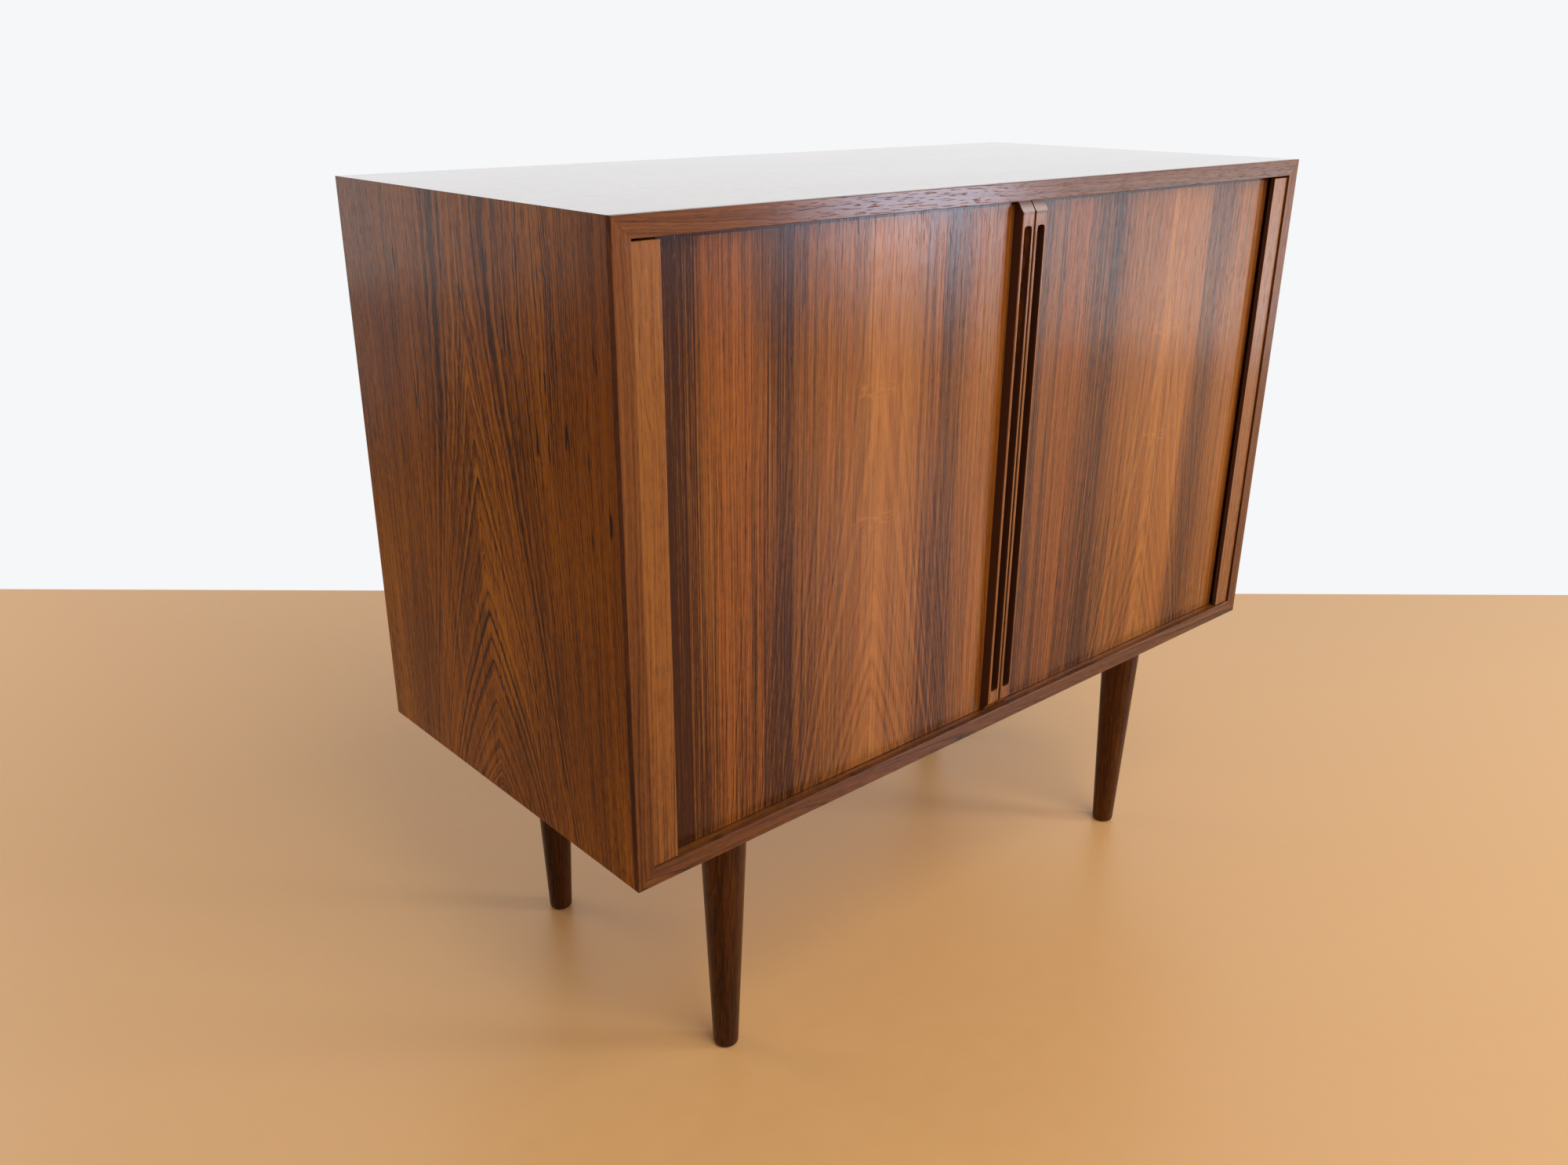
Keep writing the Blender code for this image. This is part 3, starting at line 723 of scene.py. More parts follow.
# Turns that bring a face's across direction to x and its grain to z
UPRIGHT = Matrix.Identity(3)
UPRIGHT_SIDE = Matrix(((0, 1, 0), (-1, 0, 0), (0, 0, 1)))
LEVEL_TOP = Matrix(((0, 1, 0), (0, 0, 1), (1, 0, 0)))
LEVEL_FRONT = Matrix(((0, 0, 1), (0, -1, 0), (1, 0, 0)))


def new_material(name):
    """A material with its Principled shader, and the Nodes of its tree."""
    material = bpy.data.materials.new(name)
    material.use_nodes = True
    return material, Nodes(material.node_tree), material.node_tree.nodes["Principled BSDF"]


def placed(nodes, turn, offset=(0.0, 0.0, 0.0)):
    coordinates = nodes.add("ShaderNodeTexCoord").outputs["Object"]
    inputs = {"Vector": coordinates, "Rotation": turn.to_euler("XYZ"), "Location": offset}
    return nodes.add("ShaderNodeMapping", inputs).outputs[0]


def finish_wood(nodes, shader, vector, tone, colours, fibre, roughness, relief, gloss=0.22):
    """Joins tone, colours, polish and relief to the shader."""
    dark, middle, light = (opaque(colour) for colour in colours)
    made = nodes.group("wood_tone", {"Tone": tone, "Dark": dark, "Middle": middle, "Light": light})
    inputs = {"Roughness": roughness, "Streaks": fibre["Streaks"], "Pores": fibre["Pores"], "Vector": vector}
    finish = nodes.group("wood_finish", inputs)
    bump = nodes.add("ShaderNodeBump", {"Height": finish["Height"], "Strength": 1.0, "Distance": relief})
    surface = {"Base Color": made["Colour"], "Roughness": finish["Roughness"], "Normal": bump.outputs[0]}
    nodes.join(shader.inputs, {**surface, "Specular IOR Level": gloss})


def rail_effects(nodes, place, sideways):
    """Where the marks of the lead rails are, from 0 to 1.

    "slots" is painted shade, deeper in both finger slots, and "slot_light" painted light in the left one, lighter
    towards its top.
    The cut ends at the top get a painted highlight, and "under_tips" is a line just below each.
    """
    half = (CEILING - FLOOR) / 2
    off_middle = nodes.apart(place["Z"], (CEILING + FLOOR) / 2)
    # Painted shade: the wood darkens with depth in both finger slots
    in_slot = nodes.step(off_middle, half - SLOT_END + SLOT_FADE, half - SLOT_END)
    deep = nodes.step(place["Y"], *(RAIL_LOW.y + depth for depth in SLOT_DEEP))
    in_slot = nodes.times(in_slot, deep)
    # Painted light: the left slot's walls are lighter, more so towards the top
    off_slot = nodes.math("ABSOLUTE", nodes.math("ADD", place["X"], (RAIL_LOW.x + RAIL_HIGH.x) / 2))
    left_slot = nodes.step(off_slot, *(SLOT_HALF + edge for edge in SLOT_LIGHT_EDGE))
    lit = nodes.times(left_slot, nodes.step(place["Z"], FLOOR, CEILING, 0.25, 1.0))
    # Painted highlight on the upward-facing bevel at each rail's top end, near the top only
    upper = nodes.step(place["Z"], *(CEILING - height for height in TIP_HEIGHT))
    tip_start = half - RAIL_BEVEL_HEIGHT
    tip_highlight = nodes.step(off_middle, tip_start - TIP_FADE, tip_start)
    tip_highlight = nodes.times(nodes.times(tip_highlight, upper), nodes.step(sideways, 0.95, 0.7))
    below_tip = nodes.step(off_middle, *(tip_start - below for below in TIP_LINE))
    below_tip = nodes.times(below_tip, nodes.minus(1.0, tip_highlight))
    light = nodes.times(in_slot, lit)
    return {"slots": in_slot, "slot_light": light, "tip_highlight": tip_highlight, "under_tips": nodes.times(below_tip, upper)}


def wood(name, turn, colours, roughness, offset=(0.0, 0.0, 0.0), figure=None, tone=0.5, gloss=0.22, **amounts):
    """A wood with growth rings, fine grain, mottle and pores, turned to suit the face that it covers.

    The amounts replace those of WOOD_AMOUNTS. "drop" is painted shade, darker for each metre below the opening's top.
    "sides" is painted shade on faces that look sideways, which it also dulls, from "sides_from" as the share of the
    normal that does.
    Marks begin at the height "marks_from". An amount of "slots" gives the wood the lead rails' marks: painted shade and
    painted light in the finger slots, a painted highlight on the cut ends at the top, and a line under each. A fourth
    colour takes the light one's place in broad patches, or is that painted highlight on the rails' cut ends.
    """
    amount = {**WOOD_AMOUNTS, **amounts}
    material, nodes, shader = new_material(name)
    vector = placed(nodes, turn, offset)
    rings = nodes.group("wood_figure", {"Vector": vector, **(figure or {})})
    fibre = nodes.group("wood_fibre", {"Vector": vector})
    rows = [(fibre["Streaks"], amount["streaks"]), (fibre["Mottle"], amount["mottle"])]
    rows.append((rings["Rings"], -amount["rings"]))
    rows.append((nodes.noise(vector, (14.0, 14.0, 3.5)), amount["patches"]))
    made = nodes.total(tone, ((nodes.centred(source), share) for source, share in rows))
    where = nodes.add("ShaderNodeTexCoord").outputs
    place = nodes.axes(where["Object"])
    from_height = nodes.step(place["Z"], amount["marks_from"], amount["marks_from"] + 0.12)
    marks = nodes.times(fibre["Marks"], from_height)
    effects = {"lines": rings["Lines"], "pores": fibre["Pores"], "marks": marks}
    # Painted shade, darker lower down
    effects["drop"] = nodes.minus(CEILING, place["Z"])
    # Painted shade: faces that look sideways are darkened, and dulled
    if amount["sides"]:
        sideways = nodes.math("ABSOLUTE", nodes.axes(where["Normal"])["X"])
        effects["sides"] = nodes.step(sideways, amount["sides_from"], 0.95)
        roughness = nodes.madd(effects["sides"], 0.6, roughness)
    if amount["slots"]:
        effects.update(rail_effects(nodes, place, sideways))
    made = nodes.total(made, ((source, -amount[effect]) for effect, source in effects.items()))
    if len(colours) > 3:
        *deeper, light, other = colours
        # On the rails the fourth colour is a painted highlight on the tips; elsewhere it is pale patches of the veneer
        pale = effects["tip_highlight"] if amount["slots"] else nodes.step(nodes.noise(vector, (7.0, 7.0, 2.0)), 0.42, 0.66)
        colours = [*deeper, nodes.mix(pale, light, other)]
    finish_wood(nodes, shader, vector, made, colours, fibre, roughness, 0.00012, gloss)
    return material


def ring_figure(*values):
    """Inputs of the group wood_figure, in the order in which they are named here."""
    return dict(zip(("Centre", "Heart", "Sweep", "Taper", "Spacing", "Wander"), values))


# Leaves of the door veneer: the left one's outer edge, the way from it to the next one's, and a leaf's width
LEAF_START = -0.4475
LEAF_STEP = 0.471
LEAF_WIDTH = 0.440
# Across a leaf from its outer edge: (metres, tone), then joints as (metres, depth) and (metres, share of red)
# The first stops, dark within about 20 mm of the outer edge, are painted shade: the stile's shadow and the slats
# curving away beside it
LEAF_TONES = (
    (0.0075, -0.20), (0.0082, 0.10), (0.0195, 0.08), (0.0206, 0.32), (0.0316, 0.30), (0.0324, 0.46),
    (0.058, 0.48), (0.079, 0.55), (0.084, 0.44), (0.104, 0.39), (0.112, 0.28), (0.136, 0.18), (0.146, 0.40),
    (0.168, 0.48), (0.184, 0.62), (0.215, 0.62), (0.232, 0.72), (0.246, 0.90), (0.268, 0.80),
    (0.300, 0.78), (0.308, 0.58), (0.322, 0.42), (0.342, 0.30), (0.360, 0.38), (0.376, 0.57),
    (0.402, 0.70), (0.440, 0.62),
)
LEAF_JOINTS = ((0.0200, 0.55), (0.0320, 0.30))
LEAF_REDS = ((0.030, 0.0), (0.050, 0.8), (0.080, 0.9), (0.110, 0.2), (0.160, 0.1), (0.440, 0.1))
JOINT_FADE = (0.0014, 0.0006)
# Short pale wisps: their heights, their middle across a leaf, and how far they fade up and down and sideways
WISP_HEIGHTS = (0.711, 0.583)
WISP_MIDDLE = 0.245
WISP_RISE = (0.010, 0.003)
WISP_SPREAD = (0.036, 0.015)


def curtain_veneer(colours):
    """The door veneer: two leaves of one flitch side by side, each with the same dark and light bands."""
    material, nodes, shader = new_material("curtain_veneer")
    vector = placed(nodes, UPRIGHT)
    separate = nodes.axes(vector)
    second_leaf = nodes.math("GREATER_THAN", separate["X"], 0.0)
    across = nodes.madd(second_leaf, -LEAF_STEP, nodes.minus(separate["X"], LEAF_START))
    leaf = nodes.add("ShaderNodeCombineXYZ", {"X": across, "Y": separate["Y"], "Z": separate["Z"]}).outputs[0]
    fibre = nodes.group("wood_fibre", {"Vector": vector})
    drop = nodes.minus(CEILING, separate["Z"])
    near_edge = nodes.times(nodes.step(across, 0.080, 0.050), nodes.step(across, 0.033, 0.036))
    far_off = nodes.step(across, 0.034, 0.060, 0.0)
    lean = nodes.times(nodes.times(drop, 0.022), near_edge)
    wander = nodes.noise(leaf, (16.0, 0.0, 2.2), 2.0)
    bend = nodes.times(nodes.centred(wander), 0.014)
    bend = nodes.madd(nodes.centred(fibre["Streaks"]), 0.030, bend)
    lean = nodes.madd(bend, far_off, lean)
    place = nodes.math("DIVIDE", nodes.minus(across, lean), LEAF_WIDTH)
    tone = nodes.ramp(place, [(at / LEAF_WIDTH, level) for at, level in LEAF_TONES])
    for at, depth in LEAF_JOINTS:
        near = nodes.step(nodes.apart(across, at), *JOINT_FADE)
        near = nodes.times(near, nodes.minus(1.0, second_leaf))
        tone = nodes.madd(near, -depth, tone)
    red = nodes.ramp(place, [(at / LEAF_WIDTH, level) for at, level in LEAF_REDS])
    red_lines = nodes.noise(vector, (330.0, 330.0, 2.5), 2.0)
    red = nodes.math("ADD", red, nodes.step(red_lines, 0.38, 0.62, -0.3, 0.7), clamp=True)
    figure = ring_figure(0.250, 0.004, 50.0, 0.42, 0.016, 0.020)
    rings = nodes.group("wood_figure", {"Vector": leaf, **figure})
    lower = nodes.madd(drop, -1.1, -0.35)
    rows = ((fibre["Streaks"], 2.5), (fibre["Mottle"], 0.55), (rings["Rings"], lower))
    tone = nodes.total(tone, ((nodes.centred(source), share) for source, share in rows))
    wisps = nodes.step(nodes.noise(leaf, (95.0, 95.0, 300.0), 2.0), 0.48, 0.66)
    wisps = nodes.times(wisps, nodes.step(nodes.apart(across, WISP_MIDDLE), *WISP_SPREAD))
    for height in WISP_HEIGHTS:
        near = nodes.step(nodes.apart(separate["Z"], height), *WISP_RISE)
        tone = nodes.madd(nodes.times(wisps, near), 0.35, tone)
    # The drop term is painted shade, darker lower down
    tone = nodes.total(tone, ((rings["Lines"], -0.10), (fibre["Pores"], -0.12), (drop, -0.32)))
    # Painted shade darker within 0.17 m of the top, and a painted shadow line just under the top lipping
    shade_near_top, shadow_under_lipping = nodes.step(drop, 0.17, 0.02), nodes.step(drop, 0.0042, 0.0032)
    # Lightens the right leaf's outer 30 to 40 mm, where the painted shade beside the stile is lighter
    right_edge = nodes.times(second_leaf, nodes.step(across, 0.040, 0.030))
    tone = nodes.total(tone, ((shade_near_top, -0.12), (shadow_under_lipping, -1.5), (right_edge, 0.13)))
    middle = nodes.mix(red, colours.curtain_middle, colours.curtain_red)
    shade = (colours.curtain_dark, middle, colours.curtain_light)
    finish_wood(nodes, shader, leaf, tone, shade, fibre, colours.satin, 0.00010, 0.19)
    return material


def canvas_cloth(colours):
    """Plain woven canvas: a product of two waves makes the threads, and noise makes them uneven."""
    material, nodes, shader = new_material("backing_canvas")
    vector = placed(nodes, UPRIGHT)
    separate = nodes.axes(vector)
    warp = nodes.math("SINE", nodes.times(separate["X"], 5200.0))
    weft = nodes.math("SINE", nodes.times(separate["Z"], 5200.0))
    weave = nodes.madd(nodes.times(warp, weft), 0.5, 0.5)
    uneven = nodes.noise(vector, (240.0, 240.0, 240.0), 3.0)
    shade = nodes.madd(weave, 0.35, nodes.times(uneven, 0.65), clamp=True)
    bump = nodes.add("ShaderNodeBump", {"Height": weave, "Strength": 1.0, "Distance": 0.0002})
    colour = nodes.varied(shade, colours.canvas, 0.6, 1.25)
    nodes.join(shader.inputs, {"Base Color": colour, "Normal": bump.outputs[0], "Roughness": 0.9})
    return material


def brass_metal(colours):
    """Satin brass with a little tarnish from noise."""
    material, nodes, shader = new_material("satin_brass")
    tarnish = nodes.noise(placed(nodes, UPRIGHT), (420.0, 420.0, 420.0), 3.0)
    rough = nodes.step(tarnish, 0.3, 0.7, 0.28, 0.48)
    colour = nodes.varied(tarnish, colours.brass, 0.6, 1.2)
    nodes.join(shader.inputs, {"Base Color": colour, "Roughness": rough, "Metallic": 1.0})
    return material


def shades(colours, family):
    return [getattr(colours, f"{family}_{shade}") for shade in SHADES]


def make_materials():
    """Every material, built once and looked up by name afterwards."""
    if "wood_tone" in bpy.data.node_groups:
        return
    for build in (figure_group, fibre_group, tone_group, finish_group):
        build()
    colours = bpy.context.scene.cabinet_colours
    case, lipping = shades(colours, "case"), shades(colours, "lipping")
    stile, inside = shades(colours, "stile"), shades(colours, "inside")
    warm_case, rails = [*case, colours.case_warm], [*stile, colours.rail_tip_highlight]
    satin, matt = colours.satin, colours.matt
    side_figure = ring_figure(0.0, 0.002, 60.0, 0.75, 0.015, 0.021)
    top_figure = ring_figure(0.05, 0.004, 70.0, 0.30, 0.020, 0.022)
    narrow = {"figure": ring_figure(0.3, 0.02, 0.0, 0.02, 0.004, 0.02)}
    strong = {"lines": 1.0, "rings": 1.9, "patches": 0.9, "marks": 1.3, "mottle": 1.4, "streaks": 3.7}
    strong.update(tone=0.68, gloss=0.05, marks_from=0.56)
    wood("side_veneer", UPRIGHT_SIDE, warm_case, satin, figure=side_figure, **strong)
    strong = {"lines": 0.8, "rings": 1.8, "patches": 0.6, "marks": 0.7, "mottle": 1.2, "streaks": 2.2}
    polished = wood("top_veneer", LEVEL_TOP, case, satin, figure=top_figure, tone=0.62, gloss=0.5, **strong)
    coat = {"Coat Weight": 1.0, "Coat IOR": 1.65, "Coat Roughness": colours.polish}
    Nodes(polished.node_tree).join(polished.node_tree.nodes["Principled BSDF"].inputs, coat)
    wood("lipping_level", LEVEL_FRONT, lipping, colours.rubbed, tone=0.58, gloss=0.19, **narrow)
    wood("lipping_low", LEVEL_FRONT, lipping, satin, (0.0, 0.6, 0.0), tone=0.41, **narrow)
    # "drop" and "sides" add painted shade to the lippings, stiles and rails: darker lower down, and on faces that look
    # sideways
    dull = {"tone": 0.72, "gloss": 0.12, "drop": 0.35, "sides": 0.4, "sides_from": 0.35}
    wood("lipping_upright", UPRIGHT, lipping, satin, (0.0, 0.3, 0.0), **narrow, **dull)
    steep = {"tone": 0.67, "gloss": 0.27, "drop": 0.4, "sides": 1.3}
    wood("stile_wood_finished", UPRIGHT, stile, satin, (0.0, 0.7, 0.0), **narrow, **steep)
    # For the rails, "slots" paints shade in the finger slots and light in the left one, and the tips get a painted
    # highlight
    rail = {"tone": 0.60, "drop": 0.3, "sides": 1.2, "slots": 1.3, "tip_highlight": -0.7}
    wood("rail_wood_finished", UPRIGHT, rails, satin, (0.0, 1.1, 0.0), **narrow, **rail)
    veined = {"gloss": 0.12, "streaks": 2.8, "rings": 0.6, "patches": 0.8}
    legs = ring_figure(0.1, 0.02, 0.0, 0.03, 0.004, 0.02)
    wood("leg_wood_finished", UPRIGHT, shades(colours, "leg"), satin, figure=legs, **veined)
    wood("inside_upright", UPRIGHT_SIDE, inside, matt, figure=top_figure, tone=0.6)
    wood("inside_level", LEVEL_TOP, inside, matt, (0.0, 0.4, 0.0), figure=top_figure, tone=0.6)
    wood("back_veneer", UPRIGHT, inside, matt, (0.0, 0.9, 0.0), figure=side_figure)
    curtain_veneer(colours)
    canvas_cloth(colours)
    brass_metal(colours)


def finished(name):
    make_materials()
    return bpy.data.materials[name]


# Operators


class CABINET_OT_case(bpy.types.Operator):
    """Case boards that meet at their mitres, and lippings with softened edges"""

    bl_idname = "cabinet.case"
    bl_label = "Case and Lippings"

    def execute(self, context):
        sizes = context.scene.cabinet_sizes
        for node in CASE_BOARDS:
            level = node.endswith("panel")
            veneer, edge = ("top_veneer", "lipping_low") if level else ("side_veneer", "lipping_upright")
            shape = closed_board(node, sizes.seam)
            if level:
                shape = with_room(*shape, CEILING if node.startswith("top") else FLOOR, finished(veneer))
            board = dress(node, "veneered", shape, veneer, "case_veneer")
            board.data.shade_flat()
            board.data.materials.append(finished(edge))
            for face in board.data.polygons:
                face.material_index = int(abs(face.normal.y) > 0.5)
        section = rounded_front(BOARD, BOARD_FRONT - FRONT - sizes.seam, sizes.arris)
        section[:, 1] += FRONT
        for place in ("top", "bottom", "left", "right"):
            grain = {"top": "lipping_level", "bottom": "lipping_low"}.get(place, "lipping_upright")
            bar = mitred_bar(place, section, sizes.seam)
            dress(place + "_lipping", "softened", bar, grain, "lipping_wood")
        return {"FINISHED"}


class CABINET_OT_stiles(bpy.types.Operator):
    """Stiles beside the opening, which the curtains slide behind"""

    bl_idname = "cabinet.stiles"
    bl_label = "Stiles"

    def execute(self, context):
        sizes = context.scene.cabinet_sizes
        for side, _ in SIDES:
            low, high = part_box(side + "_stile")
            bar = soft_box(low, high - Vector((0, 0, sizes.stile_gap)), sizes.arris)
            dress(side + "_stile", "softened", bar, "stile_wood_finished", "stile_wood")
        return {"FINISHED"}


class CABINET_OT_back(bpy.types.Operator):
    """Back panel and the countersunk screws that hold it"""

    bl_idname = "cabinet.back"
    bl_label = "Back Panel"

    def execute(self, context):
        fit = context.scene.cabinet_sizes.back_fit
        fit = Vector((fit, 0, fit))
        panel = soft_box(PANEL_LOW - fit, PANEL_HIGH + fit, PANEL_ARRIS)
        dress("back_panel", "fitted", panel, "back_veneer", "back_wood")
        across = np.linspace(PANEL_LOW.x + SCREW_INSET, PANEL_HIGH.x - SCREW_INSET, SCREWS_ACROSS)
        upright = np.linspace(PANEL_LOW.z + SCREW_INSET, PANEL_HIGH.z - SCREW_INSET, SCREWS_UP)
        places = [(x, z) for x in across for z in upright[[0, -1]]]
        places += [(x, z) for x in across[[0, -1]] for z in upright[1:-1]]
        heads = [turned(SCREW_HEAD, (x, PANEL_HIGH.y, z), axis=1, segments=20) for x, z in places]
        shapes = [(*head, finished("satin_brass")) for head in heads]
        add_piece("back_panel_screws", shapes, "case", "pin_brass")
        return {"FINISHED"}


class CABINET_OT_legs(bpy.types.Operator):
    """Four turned and tapered legs"""

    bl_idname = "cabinet.legs"
    bl_label = "Legs"

    def execute(self, context):
        sizes = context.scene.cabinet_sizes
        for name in LEGS:
            low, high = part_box(name)
            middle = (low + high) / 2
            leg = turned(leg_profile(low, high, sizes), (middle.x, middle.y, 0), segments=sizes.leg_segments)
            dress(name, "turned", leg, "leg_wood_finished", "leg_wood")
        return {"FINISHED"}


def leg_profile(low, high, sizes):
    """Radius and height up a leg: a rounded foot, a straight taper, a softened shoulder and the spigot."""
    shoulder = UNDERSIDE - LEG_SEAM
    top_radius = (high.x - low.x) / 2
    turn = quarter_turn(6)
    foot = sizes.foot_round
    profile = [(0, 0)]
    profile += [(LEG_FOOT_RADIUS - foot * (1 - np.sin(angle)), foot * (1 - np.cos(angle))) for angle in turn]
    shaft = np.linspace(foot, shoulder - LEG_ARRIS, 9)[1:-1]
    slope = (top_radius - LEG_FOOT_RADIUS) / (shoulder - LEG_ARRIS - foot)
    profile += [(LEG_FOOT_RADIUS + slope * (height - foot), height) for height in shaft]
    profile += [
        (top_radius - LEG_ARRIS * (1 - np.cos(angle)), shoulder - LEG_ARRIS * (1 - np.sin(angle))) for angle in turn
    ]
    profile += [(SPIGOT_RADIUS, shoulder), (SPIGOT_RADIUS, high.z - SPIGOT_CHAMFER)]
    return [*profile, (SPIGOT_RADIUS - SPIGOT_CHAMFER, high.z), (0, high.z)]


class CABINET_OT_curtains(bpy.types.Operator):
    """Strips of slats on their canvas, from the lead rails to behind the stiles"""

    bl_idname = "cabinet.curtains"
    bl_label = "Curtains"

    def execute(self, context):
        sizes = context.scene.cabinet_sizes
        veneer, cloth = finished("curtain_veneer"), finished("backing_canvas")
        for side, way in SIDES:
            for strip in range(STRIP_COUNT):
                start = STRIPS_START + strip * SLATS_PER_STRIP * SLAT_PITCH
                name = f"{side}_slats_{strip + 1:02d}"
                middles = start + SLAT_PITCH * (np.arange(SLATS_PER_STRIP) + 0.5)
                shapes = [(*slat(middle, way, sizes), veneer) for middle in middles]
                shapes.append((*canvas_backing(start, way), cloth))
                add_piece(name + "_on_canvas", shapes, name, "curtain_wood", name)
        return {"FINISHED"}


class CABINET_OT_lead_rails(bpy.types.Operator):
    """Lead rails with bevelled ends and finger slots"""

    bl_idname = "cabinet.lead_rails"
    bl_label = "Lead Rails"

    def execute(self, context):
        sizes = context.scene.cabinet_sizes
        for side, way in SIDES:
            name = side + "_lead_rail"
            dress(name, "shaped", lead_rail(way, sizes), "rail_wood_finished", "rail_wood", name)
        return {"FINISHED"}


class CABINET_OT_inside(bpy.types.Operator):
    """Inner sides, divider, shelves and shelf pins"""

    bl_idname = "cabinet.inside"
    bl_label = "Inside"

    def execute(self, context):
        sizes = context.scene.cabinet_sizes
        for node in ("left_inner_side", "right_inner_side", "centre_divider"):
            finish_node(node, finished("inside_upright"))
        for side, _ in SIDES:
            name = side + "_shelf"
            board = soft_box(*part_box(name), sizes.shelf_arris, axis=0)
            dress(name, "softened", board, "inside_level", "inside_wood")
        for name in sorted(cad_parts):
            if "_shelf_pin_" in name:
                low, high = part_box(name)
                middle = (low + high) / 2
                radius, half = (high.z - low.z) / 2, (high.x - low.x) / 2
                soft = radius / 4
                profile = [(0, -half), (radius - soft, -half), (radius, soft - half)]
                profile += [(radius, half - soft), (radius - soft, half), (0, half)]
                dress(name, "turned", turned(profile, middle, axis=0, segments=24), "satin_brass", "pin_brass")
        return {"FINISHED"}


class CABINET_OT_stage(bpy.types.Operator):
    """Floor, backdrop, even sky, lamps and the camera"""

    bl_idname = "cabinet.stage"
    bl_label = "Stage"

    def execute(self, context):
        stage = context.scene.cabinet_stage
        add_floor(stage)
        add_backdrop(stage)
        add_sky(stage)
        for name, lamp in LAMPS.items():
            add_lamp(name, *lamp, getattr(stage, name))
        add_camera()
        context.scene.view_settings.view_transform = "Standard"
        return {"FINISHED"}


def add_floor(stage):
    """A plain pale floor with a little unevenness in its colour and gloss."""
    material, nodes, shader = new_material("plain_floor")
    grain = nodes.noise(nodes.add("ShaderNodeTexCoord").outputs["Object"], (40.0, 40.0, 40.0), 3.0)
    surface = {"Base Color": nodes.varied(grain, stage.floor, 0.985, 1.015), "Specular IOR Level": 0.95}
    nodes.join(shader.inputs, {**surface, "Roughness": nodes.step(grain, 0.3, 0.7, 0.36, 0.42)})
    add_stage_mesh("floor", *floor_disc(stage.floor_radius), material)


def add_stage_mesh(name, points, faces, material):
    mesh = bpy.data.meshes.new(name)
    mesh.from_pydata(points.tolist(), [], faces)
    mesh.materials.append(material)
    linked(name, mesh)


def seen_rays(nodes):
    """One for a ray from the camera, a reflection or a transmission, and nought for light itself."""
    path = nodes.add("ShaderNodeLightPath").outputs
    seen = nodes.math("MAXIMUM", path["Is Camera Ray"], path["Is Glossy Ray"])
    return nodes.math("MAXIMUM", seen, path["Is Transmission Ray"])


def add_backdrop(stage, width=14.0, height=7.0):
    """A white sheet across the view behind the cabinet. It lights nothing, and from behind it is clear.

    A point is distance * away + s * level + t * up, with s and t on a grid and away the camera's level look.
    """
    material, nodes, shader = new_material("white_backdrop")
    nodes.tree.nodes.remove(shader)
    behind = nodes.add("ShaderNodeNewGeometry").outputs["Backfacing"]
    shown = nodes.times(seen_rays(nodes), nodes.minus(1.0, behind))
    clear = nodes.add("ShaderNodeBsdfTransparent").outputs[0]
    white = nodes.add("ShaderNodeEmission", {"Color": (*stage.backdrop, 1.0), "Strength": 1.0}).outputs[0]
    mixed = nodes.add("ShaderNodeMixShader", {0: shown, 1: clear, 2: white}).outputs[0]
    nodes.join(nodes.tree.nodes["Material Output"].inputs, {"Surface": mixed})
    material.cycles.emission_sampling = "NONE"
    turn = CAMERA_TURN[2]
    away, level = np.array([-np.sin(turn), np.cos(turn), 0]), np.array([np.cos(turn), np.sin(turn), 0])
    s, t = np.meshgrid(np.linspace(-width / 2, width / 2, 8), np.linspace(0, height, 5))
    points = stage.backdrop_distance * away + s[..., None] * level + t[..., None] * np.array([0, 0, 1.0])
    index = np.arange(s.size).reshape(s.shape)
    faces = np.stack([index[:-1, :-1], index[:-1, 1:], index[1:, 1:], index[1:, :-1]], axis=-1).reshape(-1, 4)
    add_stage_mesh("backdrop", points.reshape(-1, 3), faces.tolist(), material)


def add_sky(stage):
    """White where the camera or a reflection looks past the floor, and a plain even light elsewhere."""
    world = bpy.data.worlds.new("even_sky")
    world.use_nodes = True
    nodes = Nodes(world.node_tree)
    nodes.tree.nodes.clear()
    white = nodes.add("ShaderNodeBackground", {"Color": (*stage.backdrop, 1.0), "Strength": 1.0}).outputs[0]
    even = nodes.add("ShaderNodeBackground", {"Color": (1, 1, 1, 1), "Strength": stage.sky}).outputs[0]
    mixed = nodes.add("ShaderNodeMixShader", {0: seen_rays(nodes), 1: even, 2: white}).outputs[0]
    nodes.add("ShaderNodeOutputWorld", {"Surface": mixed})
    bpy.context.scene.world = world


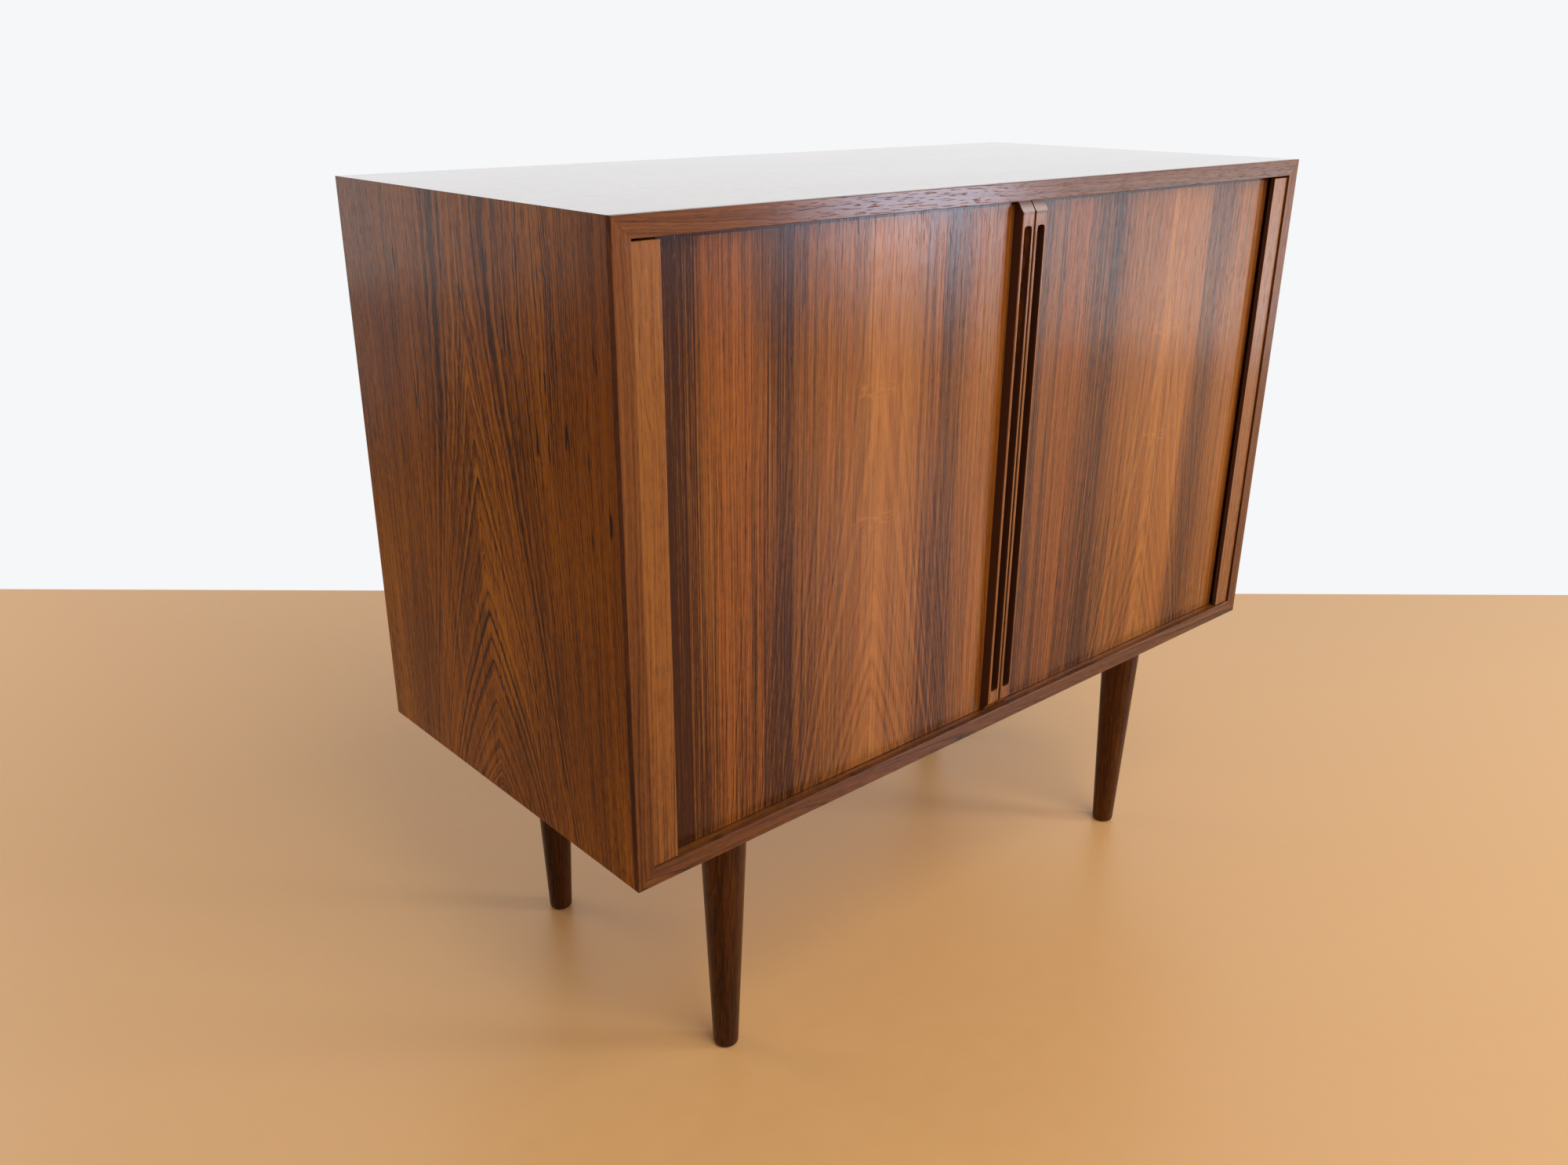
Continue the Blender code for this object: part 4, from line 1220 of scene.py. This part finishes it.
def add_lamp(name, place, size, colour, power):
    """A soft lamp aimed at the middle of the case."""
    lamp = bpy.data.lights.new(name, "AREA")
    lamp.shape = "RECTANGLE"
    lamp.size, lamp.size_y = size
    lamp.energy = power
    lamp.color = colour
    obj = linked(name, lamp)
    obj.location = place
    aim = Vector((0, 0, (TOP + UNDERSIDE) / 2)) - Vector(place)
    obj.rotation_euler = aim.to_track_quat("-Z", "Y").to_euler()


def add_camera():
    """The photograph's camera: lens = focal pixels / image width * sensor, shifts from its principal point."""
    data = bpy.data.cameras.new("photo_camera")
    data.sensor_width = SENSOR
    data.sensor_fit = "HORIZONTAL"
    data.lens = FOCAL_PIXELS / IMAGE_WIDTH * SENSOR
    data.shift_x = (IMAGE_WIDTH / 2 - PRINCIPAL_POINT[0]) / IMAGE_WIDTH
    data.shift_y = (PRINCIPAL_POINT[1] - IMAGE_HEIGHT / 2) / IMAGE_WIDTH
    data.clip_start = 0.01
    camera = linked("photo_camera", data)
    camera.location = CAMERA_PLACE
    camera.rotation_euler = CAMERA_TURN
    bpy.context.scene.camera = camera


OPERATORS = (
    CABINET_OT_case,
    CABINET_OT_stiles,
    CABINET_OT_back,
    CABINET_OT_legs,
    CABINET_OT_curtains,
    CABINET_OT_lead_rails,
    CABINET_OT_inside,
    CABINET_OT_stage,
)


class CABINET_PT_build(bpy.types.Panel):
    """Buttons for the cabinet's pieces, in the order in which they are made"""

    bl_idname = "CABINET_PT_build"
    bl_label = "Tambour Door Cabinet"
    bl_space_type = "VIEW_3D"
    bl_region_type = "UI"
    bl_category = "Cabinet"

    def draw(self, context):
        for operator in OPERATORS:
            self.layout.operator(operator.bl_idname)


CLASSES = (CabinetSizes, CabinetColours, CabinetStage, *OPERATORS, CABINET_PT_build)


SETTINGS = {"cabinet_sizes": CabinetSizes, "cabinet_colours": CabinetColours, "cabinet_stage": CabinetStage}


def register():
    for cls in CLASSES:
        bpy.utils.register_class(cls)
    for name, group in SETTINGS.items():
        setattr(bpy.types.Scene, name, PointerProperty(type=group))


def unregister():
    for name in SETTINGS:
        delattr(bpy.types.Scene, name)
    for cls in reversed(CLASSES):
        bpy.utils.unregister_class(cls)


def main():
    """Makes every piece in order."""
    register()
    for operator in OPERATORS:
        group, name = operator.bl_idname.split(".")
        getattr(getattr(bpy.ops, group), name)()


if __name__ == "__main__":
    main()
